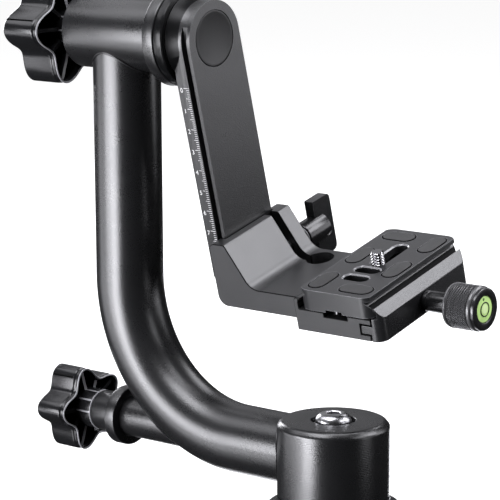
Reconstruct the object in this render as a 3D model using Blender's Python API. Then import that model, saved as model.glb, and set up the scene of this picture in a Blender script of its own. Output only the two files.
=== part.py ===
"""A gimbal tripod head. A J-shaped arm pans on a round base. A flat swing arm hangs from a tilt axis at
its top and carries an L bracket with a quick-release clamp, which slides up and down it.

Origin: the pan axis, on the plane that the base stands on. +Z is up, and +X runs along the tilt axis
from the tilt lock knob to the clamp. The swing arm hangs SWING_REST degrees out of the vertical, as
photographed. Its pieces are modelled with the tilt axis as their X axis and the arm along -Z.
"""

from math import atan2, cos, pi, radians, sin, sqrt, tan

import bmesh
import bpy
from mathutils import Matrix, Vector

for old in list(bpy.data.objects):
    bpy.data.objects.remove(old, do_unlink=True)

MM = 0.001
GAP = 0.3 * MM  # left between pieces that touch or turn on each other
OVER = 4.0 * MM  # how far a cut runs past the face that it opens

# How round things are
LARGE_SIDES = 44
MIDDLE_SIDES = 36
TUBE_SIDES = 28
SMALL_SIDES = 20
TINY_SIDES = 12
KNOB_POINTS = 50
BEND_STEPS = 12
ARC_STEPS = 3

# Base, which the tripod carries
FOOT_R = 30.0 * MM
FOOT_H = 9.0 * MM
FOOT_EDGE = 1.2 * MM
NECK_H = 4.2 * MM
SPINDLE_R = 12.0 * MM
INSERT_R = 8.0 * MM
INSERT_H = 8.4 * MM
SOCKET_R = 4.75 * MM  # a 3/8 inch tripod screw goes in here

# Pan housing, which turns on the base
PAN_R = 25.25 * MM
PAN_H = 34.25 * MM
PAN_EDGE = 2.2 * MM
PAN_CROWN = 4.0 * MM  # material between the recess and the spindle
RECESS_R = 10.0 * MM
RECESS_D = 3.4 * MM
PAN_SCREW_R = 4.0 * MM
PAN_SCREW_LENGTH = 16.0 * MM  # below its head
PAN_HEAD_R = 8.1 * MM
PAN_HEAD_H = 5.0 * MM
PAN_HEX_R = 3.3 * MM
PAN_HEX_D = 2.6 * MM
PAN_WASHER_H = 1.0 * MM
HEAD_EDGE = 1.0 * MM

# J-shaped arm
TUBE_R = 15.83 * MM
TUBE_REACH = 121.45 * MM  # from the pan axis to the upright run
TUBE_DROP = 17.65 * MM  # from the top of the pan housing to the axis of the level run
BEND_R = 69.0 * MM
TILT_RISE = 165.75 * MM  # from the top of the pan housing to the tilt axis

# Tilt housing on top of the J-shaped arm
HUB_R = 17.7 * MM
HUB_STAND = 36.45 * MM  # from the upright run's axis to the cross tube's inner end
HUB_LENGTH = 61.6 * MM
HUB_EDGE = 1.0 * MM
COLLAR_R = 23.0 * MM
COLLAR_W = 6.4 * MM
COLLAR_EDGE = 0.6 * MM
BEARING_R = 12.5 * MM
BEARING_W = 9.0 * MM
SHAFT_R = 8.0 * MM
SHAFT_PLAY = 1.0 * MM
FRICTION_R = 14.0 * MM
FRICTION_W = 1.5 * MM

# Pan lock, in line with the level run
ROD_R = 3.5 * MM
BOSS_R = 9.6 * MM
BOSS_STAND = 18.55 * MM  # from the upright run's axis to the boss's outer face
BOSS_L = 60.0 * MM  # before the bend is cut out of it
RING_R = 14.0 * MM
RING_W = 6.0 * MM
RING_STAND = 5.55 * MM  # from the upright run's axis to the ring's outer face
BRAKE_R = 4.6 * MM
BRAKE_W = 2.8 * MM
ROD_EDGE = 0.6 * MM

# Swing arm, whose pieces hang from the tilt axis
SWING_REST = 14.8  # degrees about the tilt axis
ARM_THICK = 11.64 * MM
ARM_HALF = 17.34 * MM
ARM_LENGTH = 114.0 * MM  # from the tilt axis to its lower end
ARM_CORNER = 3.0 * MM
GROOVE_W = 3.2 * MM
GROOVE_D = 3.0 * MM
GROOVE_SET = 1.74 * MM  # the slab in front of the groove
CONE_R = 20.2 * MM
CONE_H = 5.8 * MM
CONE_FACE = 0.3 * MM  # the cone's back stands this far behind the arm
FLANGE_R = 22.8 * MM
FLANGE_W = 4.8 * MM
FLANGE_EDGE = 0.6 * MM
PILOT_R = 9.0 * MM
PILOT_H = 3.0 * MM
DISC_R = 12.72 * MM
DISC_H = 1.2 * MM
HUB_SCREW_R = 4.0 * MM
HUB_SCREW_LENGTH = 20.0 * MM
HUB_HEAD_R = 6.5 * MM
HUB_HEAD_H = 4.5 * MM
HUB_HEX_R = 3.2 * MM
STUD_R = 5.0 * MM  # the threaded end of the tilt shaft, in the knob

# Star knobs: the mean radius of the rim, and how far its lobes stand out and its valleys in
TILT_KNOB_R = 22.65 * MM
TILT_KNOB_LOBE = 3.8 * MM
TILT_KNOB_LENGTH = 22.5 * MM
TILT_KNOB_STAND = 7.1 * MM  # from the housing to the knob's rim
TILT_KNOB_TURN = 36.3  # degrees, where one lobe lies
PAN_KNOB_R = 17.3 * MM
PAN_KNOB_LOBE = 3.0 * MM
PAN_KNOB_LENGTH = 18.5 * MM
PAN_KNOB_STAND = 6.8 * MM
PAN_KNOB_TURN = 34.8
KNOB_LOBES = 5
KNOB_WALL = 1.3 * MM
KNOB_BACK = 3.0 * MM
KNOB_EDGE = 2.6 * MM
KNOB_STEP = 0.5 * MM  # the grip stands this much outside the rim
KNOB_RIM_W = 3.0 * MM
KNOB_RIB = 1.6 * MM
KNOB_RIB_SET = 2.2 * MM  # the ribs end this far inside the rim
KNOB_CORE_R = 9.6 * MM
KNOB_NUT_R = 7.6 * MM
KNOB_NUT_H = 9.0 * MM
KNOB_GRIP = 3.0 * MM  # how far the screw runs past the nut

# L bracket, which slides on the swing arm
BRACKET_TOP = -91.0 * MM  # the bracket's top edge, from the tilt axis
BRACKET_H = 31.1 * MM
BRACKET_HALF = 24.7 * MM
BRACKET_WALL = 4.4 * MM  # its front wall at the top
SLAB_H = 10.6 * MM  # the level part
RAMP_RUN = 11.6 * MM  # how far the ramp comes forward on its way down
RAMP_FILLET = 8.0 * MM
HEEL_FILLET = 5.0 * MM
CREST_FILLET = 3.0 * MM
LIP_PLAY = 0.6 * MM
SLIT_V = 11.6 * MM
SLIT_W = 4.4 * MM
RELIEF_R = 6.3 * MM
RELIEF_SET = 26.46 * MM  # from the arm's front face
RELIEF_V = 15.0 * MM
BED_STEP = 0.3 * MM  # the clamp's bed hangs this much below the level part

# Carriage lock, a T handle on a screw across the slit
LOCK_SET = 7.36 * MM  # from the arm's front face
LOCK_RISE = 14.0 * MM  # above the bracket's underside
LOCK_SCREW_R = 2.9 * MM
LOCK_SCREW_END = -4.0 * MM
LOCK_BOSS_R = 6.4 * MM
LOCK_BOSS_L = 9.4 * MM
LOCK_WASHER_R = 6.0 * MM
LOCK_WASHER_H = 0.9 * MM
BAR_L = 28.8 * MM
BAR_W = 13.0 * MM
BAR_T = 5.0 * MM
BAR_CORNER = 2.6 * MM

# Clamp: the bed, the fixed jaw and the moving jaw, about the plate's middle
PLATE_X = 5.1 * MM
JAW_LIP = 19.4 * MM  # from the middle to the lips that hold the plate
JAW_UNDERCUT = 1.8 * MM
JAW_RISE = 4.6 * MM  # the lip's lower edge above the bed
LIP_H = 0.4 * MM
JAW_OUT = 23.6 * MM  # from the middle to the jaws' outer faces
JAW_SHOULDER = 1.2 * MM
CLAMP_HALF = 34.1 * MM
BED_END = 18.3 * MM
TONGUE_L = 6.1 * MM
TONGUE_H = 4.6 * MM
TONGUE_RISE = 3.0 * MM  # above the clamp's underside
TONGUE_BACK = 1.0 * MM
JAW_SLOPE_W = 3.1 * MM
JAW_SLOPE_H = 5.0 * MM
JAW_CORNER = 5.0 * MM
POCKET_HALF = 6.4 * MM
POCKET_D = 2.4 * MM
POCKET_L = 25.8 * MM
CLAMP_SCREW_RISE = 5.6 * MM  # its axis above the clamp's underside
CLAMP_SCREW_R = 2.4 * MM
CLAMP_SCREW_REACH = 20.0 * MM  # into the bed
PIN_R = 1.75 * MM
PIN_SET = 10.1 * MM  # in from the ends of the clamp
PIN_IN_JAW = 8.0 * MM
PIN_IN_BED = 9.0 * MM

# Clamp knob with its round spirit level
STEM_R = 4.75 * MM
STEM_L = 14.6 * MM
SPIGOT_R = 3.4 * MM
SPIGOT_L = 8.0 * MM
GRIP_R = 10.2 * MM
GRIP_L = 14.6 * MM
GRIP_EDGE = 1.0 * MM
GRIP_GROOVE_W = 0.9 * MM
GRIP_GROOVE_D = 0.7 * MM
GRIP_GROOVE_SET = 1.6 * MM
BEZEL_R = 9.5 * MM
BEZEL_H = 1.3 * MM
BEZEL_EDGE = 0.4 * MM
BEZEL_BODY_R = 8.0 * MM
BEZEL_BODY_H = 3.2 * MM
VIAL_R = 5.8 * MM
VIAL_H = 3.4 * MM
VIAL_SET = 0.2 * MM

# Quick-release plate
PLATE_H = 9.8 * MM
PLATE_HALF = 18.9 * MM
PLATE_OVERHANG = 0.7 * MM  # past each end of the clamp
PLATE_CORNER = 7.0 * MM
PLATE_FLANGE_H = 2.0 * MM
PLATE_NECK_IN = 2.5 * MM  # the neck lies this far inside the top flange
PLATE_NECK_H = 0.5 * MM
PLATE_NOTCH_HALF = 4.6 * MM
PLATE_NOTCH_D = 1.2 * MM
PLATE_NOTCH_L = 7.0 * MM
SLOT_HALF = 3.6 * MM
SLOT_START = 0.3 * MM  # along the plate, where the screw stands at rest
SLOT_RUN = 16.7 * MM
SLOT_OPEN_H = 3.6 * MM  # web above the screw's pocket
POCKET_PLAY = 0.9 * MM
SIDE_SLOT_HALF = 2.9 * MM
SIDE_SLOT_RUN = 7.2 * MM
SIDE_SLOT_V = (-17.0 * MM, -8.2 * MM)
PAD_L = 17.2 * MM
PAD_W = 8.6 * MM
PAD_DEEP = 0.9 * MM
PAD_PROUD = 0.3 * MM
PAD_SIDE_X = 13.2 * MM  # the pads along the plate, from its middle
PAD_FAR_SET = 11.3 * MM  # in from the ends of the plate
PAD_NEAR_V = 4.2 * MM
PAD_END_X = 7.8 * MM  # the pads across the plate
PAD_END_SET = 7.4 * MM
CAMERA_R = 3.1 * MM  # a 1/4 inch camera screw
CAMERA_STAND = 5.4 * MM
CAMERA_TIP = 0.7 * MM
CAMERA_HEAD_R = 7.0 * MM
CAMERA_HEAD_H = 2.8 * MM
CAMERA_SLOT_W = 1.4 * MM
CAMERA_SLOT_D = 1.3 * MM
RETAINER_H = 0.9 * MM
RETAINER_R = 6.6 * MM
STOP_SET = 3.8 * MM
STOP_X = 4.1 * MM
STOP_HEAD_R = 2.3 * MM
STOP_HEAD_H = 2.6 * MM
STOP_R = 1.3 * MM
STOP_L = 4.0 * MM

# Heights and places that follow
PAN_FLOOR = FOOT_H + NECK_H + GAP
PAN_TOP = PAN_FLOOR + PAN_H
RECESS_FLOOR = PAN_TOP - RECESS_D
SPINDLE_TOP = RECESS_FLOOR - PAN_CROWN - GAP
RUN_Z = PAN_TOP - TUBE_DROP
TILT_Z = PAN_TOP + TILT_RISE
HUB_END = HUB_STAND - TUBE_REACH
HUB_START = HUB_END - HUB_LENGTH
FLANGE_X = HUB_END + GAP
HUB_FACE = FLANGE_X + FLANGE_W + GAP
ARM_REAR = HUB_FACE + CONE_FACE
ARM_FRONT = ARM_REAR + ARM_THICK
FRICTION_X = HUB_START - GAP - FRICTION_W
TILT_RIM = HUB_START - TILT_KNOB_STAND
BOSS_END = TUBE_REACH + BOSS_STAND
RING_END = TUBE_REACH + RING_STAND
PAN_RIM = -(BOSS_END + PAN_KNOB_STAND)
GROOVE_FRONT = ARM_FRONT - GROOVE_SET
GROOVE_REAR = GROOVE_FRONT - GROOVE_W
NECK_HALF = ARM_HALF - GROOVE_D
BRACKET_REAR = GROOVE_REAR + LIP_PLAY
BRACKET_BOTTOM = BRACKET_TOP - BRACKET_H
SEAT = BRACKET_BOTTOM + SLAB_H
CLAMP_BOTTOM = BRACKET_BOTTOM - BED_STEP
LIP_Z = SEAT + JAW_RISE
TONGUE_Z = CLAMP_BOTTOM + TONGUE_RISE
SCREW_Z = CLAMP_BOTTOM + CLAMP_SCREW_RISE
JAW_FACE = PLATE_X + JAW_OUT
PLATE_BOTTOM = SEAT + GAP
PLATE_TOP = PLATE_BOTTOM + PLATE_H
LOCK_X = ARM_FRONT + LOCK_SET
LOCK_Z = BRACKET_BOTTOM + LOCK_RISE
RELIEF_X = ARM_FRONT + RELIEF_SET
PIN_V = CLAMP_HALF - PIN_SET
PLATE_END = CLAMP_HALF + PLATE_OVERHANG
PAD_FAR_V = PLATE_END - PAD_FAR_SET
PAD_END_V = PLATE_END - PAD_END_SET
STOP_V = PLATE_END - STOP_SET
LEDGE = PLATE_TOP - SLOT_OPEN_H


def finish(name, colour, roughness, metallic):
    """A Principled material in the piece's own colour."""
    made = bpy.data.materials.new(name)
    made.use_nodes = True
    shader = made.node_tree.nodes["Principled BSDF"]
    shader.inputs["Base Color"].default_value = (*colour, 1)
    shader.inputs["Roughness"].default_value = roughness
    shader.inputs["Metallic"].default_value = metallic
    made.diffuse_color = (*colour, 1)
    return made


COATED = finish("black_coated_aluminium", (0.045, 0.046, 0.05), 0.42, 0.3)
SATIN = finish("grey_satin_aluminium", (0.12, 0.12, 0.13), 0.38, 0.5)
PLASTIC = finish("black_plastic", (0.03, 0.03, 0.033), 0.45, 0.0)
STEEL = finish("bright_steel", (0.62, 0.62, 0.63), 0.22, 1.0)
BRASS = finish("brass", (0.7, 0.52, 0.25), 0.3, 1.0)
RUBBER = finish("rubber", (0.06, 0.06, 0.062), 0.85, 0.0)
POLYMER = finish("bearing_polymer", (0.75, 0.74, 0.7), 0.5, 0.0)
LIQUID = finish("level_green", (0.35, 0.8, 0.1), 0.15, 0.0)


def pivot(name, parent=None, at=(0, 0, 0), turn=0.0):
    """An empty on a joint's axis. The pieces that move with the joint hang on it."""
    made = bpy.data.objects.new(name, None)
    made.location = at
    made.rotation_euler = (turn, 0, 0)
    made.parent = parent
    bpy.context.scene.collection.objects.link(made)
    return made


def solid(name, bm, material, parent, smooth=35.0):
    """One piece from a closed mesh, with its round faces shaded smooth."""
    bmesh.ops.recalc_face_normals(bm, faces=bm.faces)
    mesh = bpy.data.meshes.new(name)
    bm.to_mesh(mesh)
    bm.free()
    mesh.shade_smooth()
    mesh.set_sharp_from_angle(angle=radians(smooth))
    mesh.materials.append(material)
    made = bpy.data.objects.new(name, mesh)
    made.parent = parent
    bpy.context.scene.collection.objects.link(made)
    return made


def shape(target, bm, label, operation="DIFFERENCE"):
    """Cuts a hidden tool out of the piece, or joins it on, with a Boolean."""
    tool = solid(f"{target.name}.{label}", bm, target.data.materials[0], target.parent)
    tool.hide_render = True
    tool.display_type = "WIRE"
    step = target.modifiers.new(label, "BOOLEAN")
    step.operation = operation
    step.solver = "EXACT"
    step.object = tool
    return target


def turned(points, sides, ring=False, axis="X", centre=(0, 0, 0)):
    """A body turned about an axis. Points are (along, radius) pairs, and a ring's last joins its first."""
    bm = bmesh.new()
    rows = []
    for along, radius in points:
        if radius <= 0:
            rows.append([bm.verts.new((along, 0, 0))])
            continue
        rows.append([bm.verts.new((along, radius * cos(2 * pi * k / sides), radius * sin(2 * pi * k / sides)))
                     for k in range(sides)])
    pairs = list(zip(rows, rows[1:])) + ([(rows[-1], rows[0])] if ring else [])
    for first, second in pairs:
        for k in range(sides):
            m = (k + 1) % sides
            if len(first) == 1:
                bm.faces.new((first[0], second[m], second[k]))
            elif len(second) == 1:
                bm.faces.new((first[k], first[m], second[0]))
            else:
                bm.faces.new((first[k], first[m], second[m], second[k]))
    if axis == "Z":
        bm.transform(Matrix.Rotation(-pi / 2, 4, "Y"))
    if axis == "Y":
        bm.transform(Matrix.Rotation(pi / 2, 4, "Z"))
    bm.transform(Matrix.Translation(centre))
    return bm


def rod(start, end, radius, sides, axis="X", centre=(0, 0, 0)):
    """A plain cylinder between two places on an axis."""
    return turned([(start, 0), (start, radius), (end, radius), (end, 0)], sides, False, axis, centre)


def sleeve(start, end, outer, inner, sides, axis="X", centre=(0, 0, 0), edge=0.0):
    """A ring between two places on an axis, with its outer edges broken by a chamfer."""
    profile = [(start, inner), (start, outer - edge), (start + edge, outer), (end - edge, outer),
               (end, outer - edge), (end, inner)]
    if edge <= 0:
        profile = [(start, inner), (start, outer), (end, outer), (end, inner)]
    return turned(profile, sides, True, axis, centre)


def rounded(corners, steps=ARC_STEPS):
    """An outline from (a, b, radius) corners, each rounded by its radius."""
    outline = []
    for i, (a, b, radius) in enumerate(corners):
        here = Vector((a, b))
        before = Vector(corners[i - 1][:2]) - here
        after = Vector(corners[(i + 1) % len(corners)][:2]) - here
        if radius <= 0:
            outline.append((a, b))
            continue
        half = before.angle(after) / 2
        reach = radius / tan(half)
        middle = here + (before.normalized() + after.normalized()).normalized() * (radius / sin(half))
        start = here + before.normalized() * reach - middle
        end = here + after.normalized() * reach - middle
        first = atan2(start.y, start.x)
        sweep = (atan2(end.y, end.x) - first + pi) % (2 * pi) - pi
        outline += [(middle.x + radius * cos(first + sweep * k / steps),
                     middle.y + radius * sin(first + sweep * k / steps)) for k in range(steps + 1)]
    return outline


def prism(outline, low, high, along="Y", bm=None):
    """A closed outline drawn out along one axis: (x, z) along Y, (x, y) along Z or (y, z) along X."""
    place = {"X": lambda a, b, h: (h, a, b), "Y": lambda a, b, h: (a, h, b),
             "Z": lambda a, b, h: (a, b, h)}[along]
    bm = bm or bmesh.new()
    lower = [bm.verts.new(place(a, b, low)) for a, b in outline]
    upper = [bm.verts.new(place(a, b, high)) for a, b in outline]
    bm.faces.new(lower)
    bm.faces.new(list(reversed(upper)))
    for k in range(len(outline)):
        m = (k + 1) % len(outline)
        bm.faces.new((lower[k], upper[k], upper[m], lower[m]))
    return bm


def box(low, high, bm=None):
    """A block between two opposite corners."""
    outline = [(low[0], low[1]), (high[0], low[1]), (high[0], high[1]), (low[0], high[1])]
    return prism(outline, low[2], high[2], "Z", bm)


def stadium(x, v, run, half, across=False, steps=TINY_SIDES // 2):
    """The outline of a slot with round ends, centred on (x, v), along the plate or across it."""
    outline = []
    for end, start in ((run / 2, 0), (-run / 2, pi)):
        for k in range(steps + 1):
            angle = start + pi * k / steps
            point = (half * cos(angle), end + half * sin(angle))
            outline.append((x - point[1], v + point[0]) if across else (x + point[0], v + point[1]))
    return outline


def hexagon(radius, turn=0.0):
    return [(radius * cos(turn + pi * k / 3), radius * sin(turn + pi * k / 3)) for k in range(6)]


def mirrored(outline, x):
    return [(2 * x - a, b) for a, b in outline]


# The bodies' pivots, each on the axis of its joint. A screw that turns in a thread hangs on a slide.
pan_pivot = pivot("pan_pivot")
brake_slide = pivot("brake_slide", pan_pivot, (0, 0, RUN_Z))
pan_lock_pivot = pivot("pan_lock_pivot", brake_slide)
tilt_base = pivot("tilt_base", pan_pivot, (0, 0, TILT_Z))
swing_pivot = pivot("swing_pivot", tilt_base, (0, 0, 0), radians(SWING_REST))
washer_slide = pivot("washer_slide", swing_pivot)
tilt_lock_pivot = pivot("tilt_lock_pivot", washer_slide)
carriage_slide = pivot("carriage_slide", swing_pivot)
lock_slide = pivot("lock_slide", carriage_slide, (LOCK_X, 0, LOCK_Z))
handle_pivot = pivot("handle_pivot", lock_slide)
jaw_slide = pivot("jaw_slide", carriage_slide)
clamp_knob_pivot = pivot("clamp_knob_pivot", jaw_slide, (0, 0, SCREW_Z))
plate_slide = pivot("plate_slide", carriage_slide)
screw_slide = pivot("screw_slide", plate_slide)
camera_pivot = pivot("camera_pivot", screw_slide, (PLATE_X, SLOT_START, 0))


def base():
    """The foot with its spindle, the threaded bush under it, and the screw that keeps the housing on."""
    thread_floor = SPINDLE_TOP - PAN_SCREW_LENGTH
    foot = [(INSERT_H + GAP, 0), (INSERT_H + GAP, INSERT_R + GAP), (0, INSERT_R + GAP),
            (0, FOOT_R - FOOT_EDGE), (FOOT_EDGE, FOOT_R), (FOOT_H - FOOT_EDGE, FOOT_R),
            (FOOT_H, FOOT_R - FOOT_EDGE), (FOOT_H, PAN_R), (FOOT_H + NECK_H, PAN_R),
            (FOOT_H + NECK_H, SPINDLE_R), (SPINDLE_TOP, SPINDLE_R), (SPINDLE_TOP, PAN_SCREW_R + GAP),
            (thread_floor, PAN_SCREW_R + GAP), (thread_floor, 0)]
    solid("base_foot", turned(foot, LARGE_SIDES, axis="Z"), COATED, None)
    solid("tripod_bush", sleeve(0, INSERT_H, INSERT_R, SOCKET_R, SMALL_SIDES, "Z"), BRASS, None)
    washer = RECESS_FLOOR + GAP
    solid("pan_washer", sleeve(washer, washer + PAN_WASHER_H, RECESS_R - 2 * GAP, PAN_SCREW_R + GAP,
                               SMALL_SIDES, "Z"), STEEL, None)
    under = washer + PAN_WASHER_H + GAP
    dome = [(under + HEAD_EDGE + (PAN_HEAD_H - HEAD_EDGE) * sin(k * pi / 2 / ARC_STEPS),
             PAN_HEX_R + HEAD_EDGE + (PAN_HEAD_R - PAN_HEX_R - HEAD_EDGE) * cos(k * pi / 2 / ARC_STEPS))
            for k in range(ARC_STEPS + 1)]
    screw = [(thread_floor + GAP, 0), (thread_floor + GAP, PAN_SCREW_R), (under, PAN_SCREW_R),
             (under, PAN_HEAD_R)] + dome + [(under + PAN_HEAD_H, 0)]
    made = solid("pan_screw", turned(screw, SMALL_SIDES, axis="Z"), STEEL, None)
    top = under + PAN_HEAD_H
    shape(made, prism(hexagon(PAN_HEX_R), top - PAN_HEX_D, top + OVER, "Z"), "hex_socket")


def pan_housing():
    """The round housing that turns on the spindle, open below and recessed on top."""
    rim = rounded([(PAN_FLOOR, SPINDLE_R + GAP, 0), (PAN_FLOOR, PAN_R, HEAD_EDGE), (PAN_TOP, PAN_R, PAN_EDGE),
                   (PAN_TOP, RECESS_R, 0), (RECESS_FLOOR, RECESS_R, 0),
                   (RECESS_FLOOR, PAN_SCREW_R + GAP, 0), (SPINDLE_TOP + GAP, PAN_SCREW_R + GAP, 0),
                   (SPINDLE_TOP + GAP, SPINDLE_R + GAP, 0)])
    made = solid("pan_housing", turned(rim, LARGE_SIDES, True, "Z"), COATED, pan_pivot)
    shape(made, rod(-PAN_R - OVER, 0, BRAKE_R + GAP, SMALL_SIDES, centre=(0, 0, RUN_Z)), "brake_bore")


def tube_rings(radius, sides, seat=True):
    """The rings of the J-shaped tube, from the tilt housing down and round to the pan housing."""
    angles = [2 * pi * (k + 0.5) / sides for k in range(sides)]
    rings = []
    top = [(-TUBE_REACH + radius * cos(a), radius * sin(a)) for a in angles]
    hub = HUB_R + GAP
    if seat:
        rings.append([(x, y, TILT_Z - sqrt(hub * hub - y * y)) for x, y in top])
    else:
        rings.append([(x, y, TILT_Z) for x, y in top])
    centre = (-TUBE_REACH + BEND_R, RUN_Z + BEND_R)
    for k in range(BEND_STEPS + 1):
        bend = pi / 2 * k / BEND_STEPS
        rings.append([(centre[0] - (BEND_R - radius * cos(a)) * cos(bend), radius * sin(a),
                       centre[1] - (BEND_R - radius * cos(a)) * sin(bend)) for a in angles])
    wall = PAN_R + GAP
    last = [(radius * sin(a), RUN_Z + radius * cos(a)) for a in angles]
    if seat:
        rings.append([(-sqrt(wall * wall - y * y), y, z) for y, z in last])
    else:
        rings.append([(0, y, z) for y, z in last])
    return rings


def j_tube():
    bm = bmesh.new()
    rows = [[bm.verts.new(point) for point in ring] for ring in tube_rings(TUBE_R, TUBE_SIDES)]
    for first, second in zip(rows, rows[1:]):
        for k in range(TUBE_SIDES):
            m = (k + 1) % TUBE_SIDES
            bm.faces.new((first[k], first[m], second[m], second[k]))
    # Points k and (half - 1 - k) of a ring lie at the same place across the tube, so strips between
    # them lie on the cylinder that the end meets.
    half = TUBE_SIDES // 2
    for row in (rows[0], rows[-1]):
        pairs = [(row[k % TUBE_SIDES], row[(half - 1 - k) % TUBE_SIDES])
                 for k in range(-(half // 2), half // 2)]
        for (a, b), (c, d) in zip(pairs, pairs[1:]):
            bm.faces.new((a, b, d, c))
    made = solid("j_tube", bm, COATED, pan_pivot)
    shape(made, rod(-BOSS_END, OVER - PAN_R, ROD_R + GAP, SMALL_SIDES, centre=(0, 0, RUN_Z)), "rod_bore")


def tilt_housing():
    """The cross tube on top of the J-shaped arm, with a plain bearing in each end."""
    seat = BEARING_R + GAP
    inner = SHAFT_R + SHAFT_PLAY
    depth = BEARING_W + GAP
    profile = [(HUB_START, seat), (HUB_START, HUB_R - HUB_EDGE), (HUB_START + HUB_EDGE, HUB_R),
               (HUB_END, HUB_R), (HUB_END, seat), (HUB_END - depth, seat), (HUB_END - depth, inner),
               (HUB_START + depth, inner), (HUB_START + depth, seat)]
    solid("tilt_housing", turned(profile, LARGE_SIDES, True), COATED, tilt_base)
    solid("tilt_collar", sleeve(HUB_END - COLLAR_W, HUB_END, COLLAR_R, HUB_R + GAP, LARGE_SIDES,
                                edge=COLLAR_EDGE), COATED, tilt_base)
    for name, start in (("tilt_bearing_inner", HUB_END - BEARING_W),
                        ("tilt_bearing_outer", HUB_START)):
        solid(name, sleeve(start, start + BEARING_W, BEARING_R, SHAFT_R + GAP, SMALL_SIDES), POLYMER,
              tilt_base)


def pan_lock():
    """The boss behind the bend, and the rod that runs through it to a brake pad on the spindle."""
    at = (0, 0, RUN_Z)
    made = solid("pan_lock_boss", sleeve(-BOSS_END, BOSS_L - BOSS_END, BOSS_R, ROD_R + GAP,
                                         SMALL_SIDES, centre=at), COATED, pan_pivot)
    bm = bmesh.new()
    rows = [[bm.verts.new(p) for p in ring] for ring in tube_rings(TUBE_R + GAP, TUBE_SIDES, False)]
    for first, second in zip(rows, rows[1:]):
        for k in range(TUBE_SIDES):
            m = (k + 1) % TUBE_SIDES
            bm.faces.new((first[k], first[m], second[m], second[k]))
    bm.faces.new(rows[0])
    bm.faces.new(list(reversed(rows[-1])))
    shape(made, bm, "tube_seat")
    solid("pan_lock_ring", sleeve(-RING_END, RING_W - RING_END, RING_R, BOSS_R + GAP, SMALL_SIDES,
                                  centre=at, edge=COLLAR_EDGE), COATED, pan_pivot)
    pad_end = -SPINDLE_R - GAP
    solid("pan_brake_pad", rod(pad_end - BRAKE_W, pad_end, BRAKE_R, TINY_SIDES), BRASS, brake_slide)
    end = pad_end - BRAKE_W - GAP
    nut = -(BOSS_END + GAP + KNOB_NUT_H + KNOB_GRIP)
    profile = [(nut, 0), (nut, ROD_R - ROD_EDGE), (nut + ROD_EDGE, ROD_R), (end, ROD_R), (end, 0)]
    solid("pan_lock_rod", turned(profile, TINY_SIDES), STEEL, pan_lock_pivot)
    star_knob("pan_lock", pan_lock_pivot, PAN_RIM, PAN_KNOB_LENGTH, PAN_KNOB_R, PAN_KNOB_LOBE,
              PAN_KNOB_TURN, -(BOSS_END + GAP), ROD_R)


def star_loop(mean, lobe, turn, offset):
    """A closed star outline with rounded lobes and valleys."""
    return [((mean + offset + lobe * cos(KNOB_LOBES * (2 * pi * k / KNOB_POINTS - turn)))
             * cos(2 * pi * k / KNOB_POINTS),
             (mean + offset + lobe * cos(KNOB_LOBES * (2 * pi * k / KNOB_POINTS - turn)))
             * sin(2 * pi * k / KNOB_POINTS)) for k in range(KNOB_POINTS)]


def loft(sections):
    """A closed skin through star outlines, each given as (x, points)."""
    bm = bmesh.new()
    rows = [[bm.verts.new((x, y, z)) for y, z in points] for x, points in sections]
    for first, second in zip(rows, rows[1:]):
        for k in range(len(first)):
            m = (k + 1) % len(first)
            bm.faces.new((first[k], first[m], second[m], second[k]))
    bm.faces.new(rows[0])
    bm.faces.new(list(reversed(rows[-1])))
    return bm


def star_knob(name, parent, rim, length, mean, lobe, degrees, face, thread):
    """A moulded knob, hollow behind its rim, with ribs from a core that holds a metal nut."""
    turn = radians(degrees)
    back = rim - length
    floor = back + KNOB_BACK
    shoulder = rim - KNOB_RIM_W

    def ring(x, offset):
        return (x, star_loop(mean, lobe, turn, offset))

    arcs = [ring(back + KNOB_EDGE * (1 - cos(k * pi / 2 / ARC_STEPS)),
                 KNOB_STEP - KNOB_EDGE * (1 - sin(k * pi / 2 / ARC_STEPS))) for k in range(ARC_STEPS + 1)]
    skin = arcs + [ring(shoulder - KNOB_STEP, KNOB_STEP), ring(shoulder, 0), ring(rim, 0)]
    made = solid(name + "_knob", loft(skin), PLASTIC, parent)
    shape(made, loft([ring(floor, -KNOB_WALL), ring(rim + OVER, -KNOB_WALL)]), "hollow")
    arms = 2 * KNOB_LOBES
    outline = []
    half = KNOB_RIB / 2
    for k in range(arms):
        angle = turn + pi * k / KNOB_LOBES
        reach = mean + (lobe if k % 2 == 0 else -lobe) - KNOB_WALL / 2
        for side in (-half, half):
            outline.append((reach * cos(angle) - side * sin(angle), reach * sin(angle) + side * cos(angle)))
        crotch = half / sin(pi / arms)
        middle = angle + pi / arms
        outline.append((crotch * cos(middle), crotch * sin(middle)))
    shape(made, prism(outline, floor - KNOB_BACK / 2, rim - KNOB_RIB_SET, "X"), "ribs", "UNION")
    shape(made, rod(floor - KNOB_BACK / 2, face, KNOB_CORE_R, SMALL_SIDES), "core", "UNION")
    shape(made, rod(face - KNOB_NUT_H - GAP, face + OVER, KNOB_NUT_R + GAP, SMALL_SIDES), "nut_bore")
    shape(made, rod(face - KNOB_NUT_H - KNOB_GRIP - 2 * GAP, face + OVER, thread + GAP, TINY_SIDES),
          "thread_bore")
    solid(name + "_nut", sleeve(face - KNOB_NUT_H, face, KNOB_NUT_R, thread + GAP, SMALL_SIDES), BRASS,
          parent)


def tilt_lock():
    """The knob on the end of the tilt shaft, and the washer that it presses on the housing."""
    solid("friction_washer", sleeve(FRICTION_X, FRICTION_X + FRICTION_W, FRICTION_R, STUD_R + GAP,
                                    SMALL_SIDES), STEEL, washer_slide)
    face = FRICTION_X - GAP
    star_knob("tilt_lock", tilt_lock_pivot, TILT_RIM, TILT_KNOB_LENGTH, TILT_KNOB_R, TILT_KNOB_LOBE,
              TILT_KNOB_TURN - SWING_REST, face, STUD_R)


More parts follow.
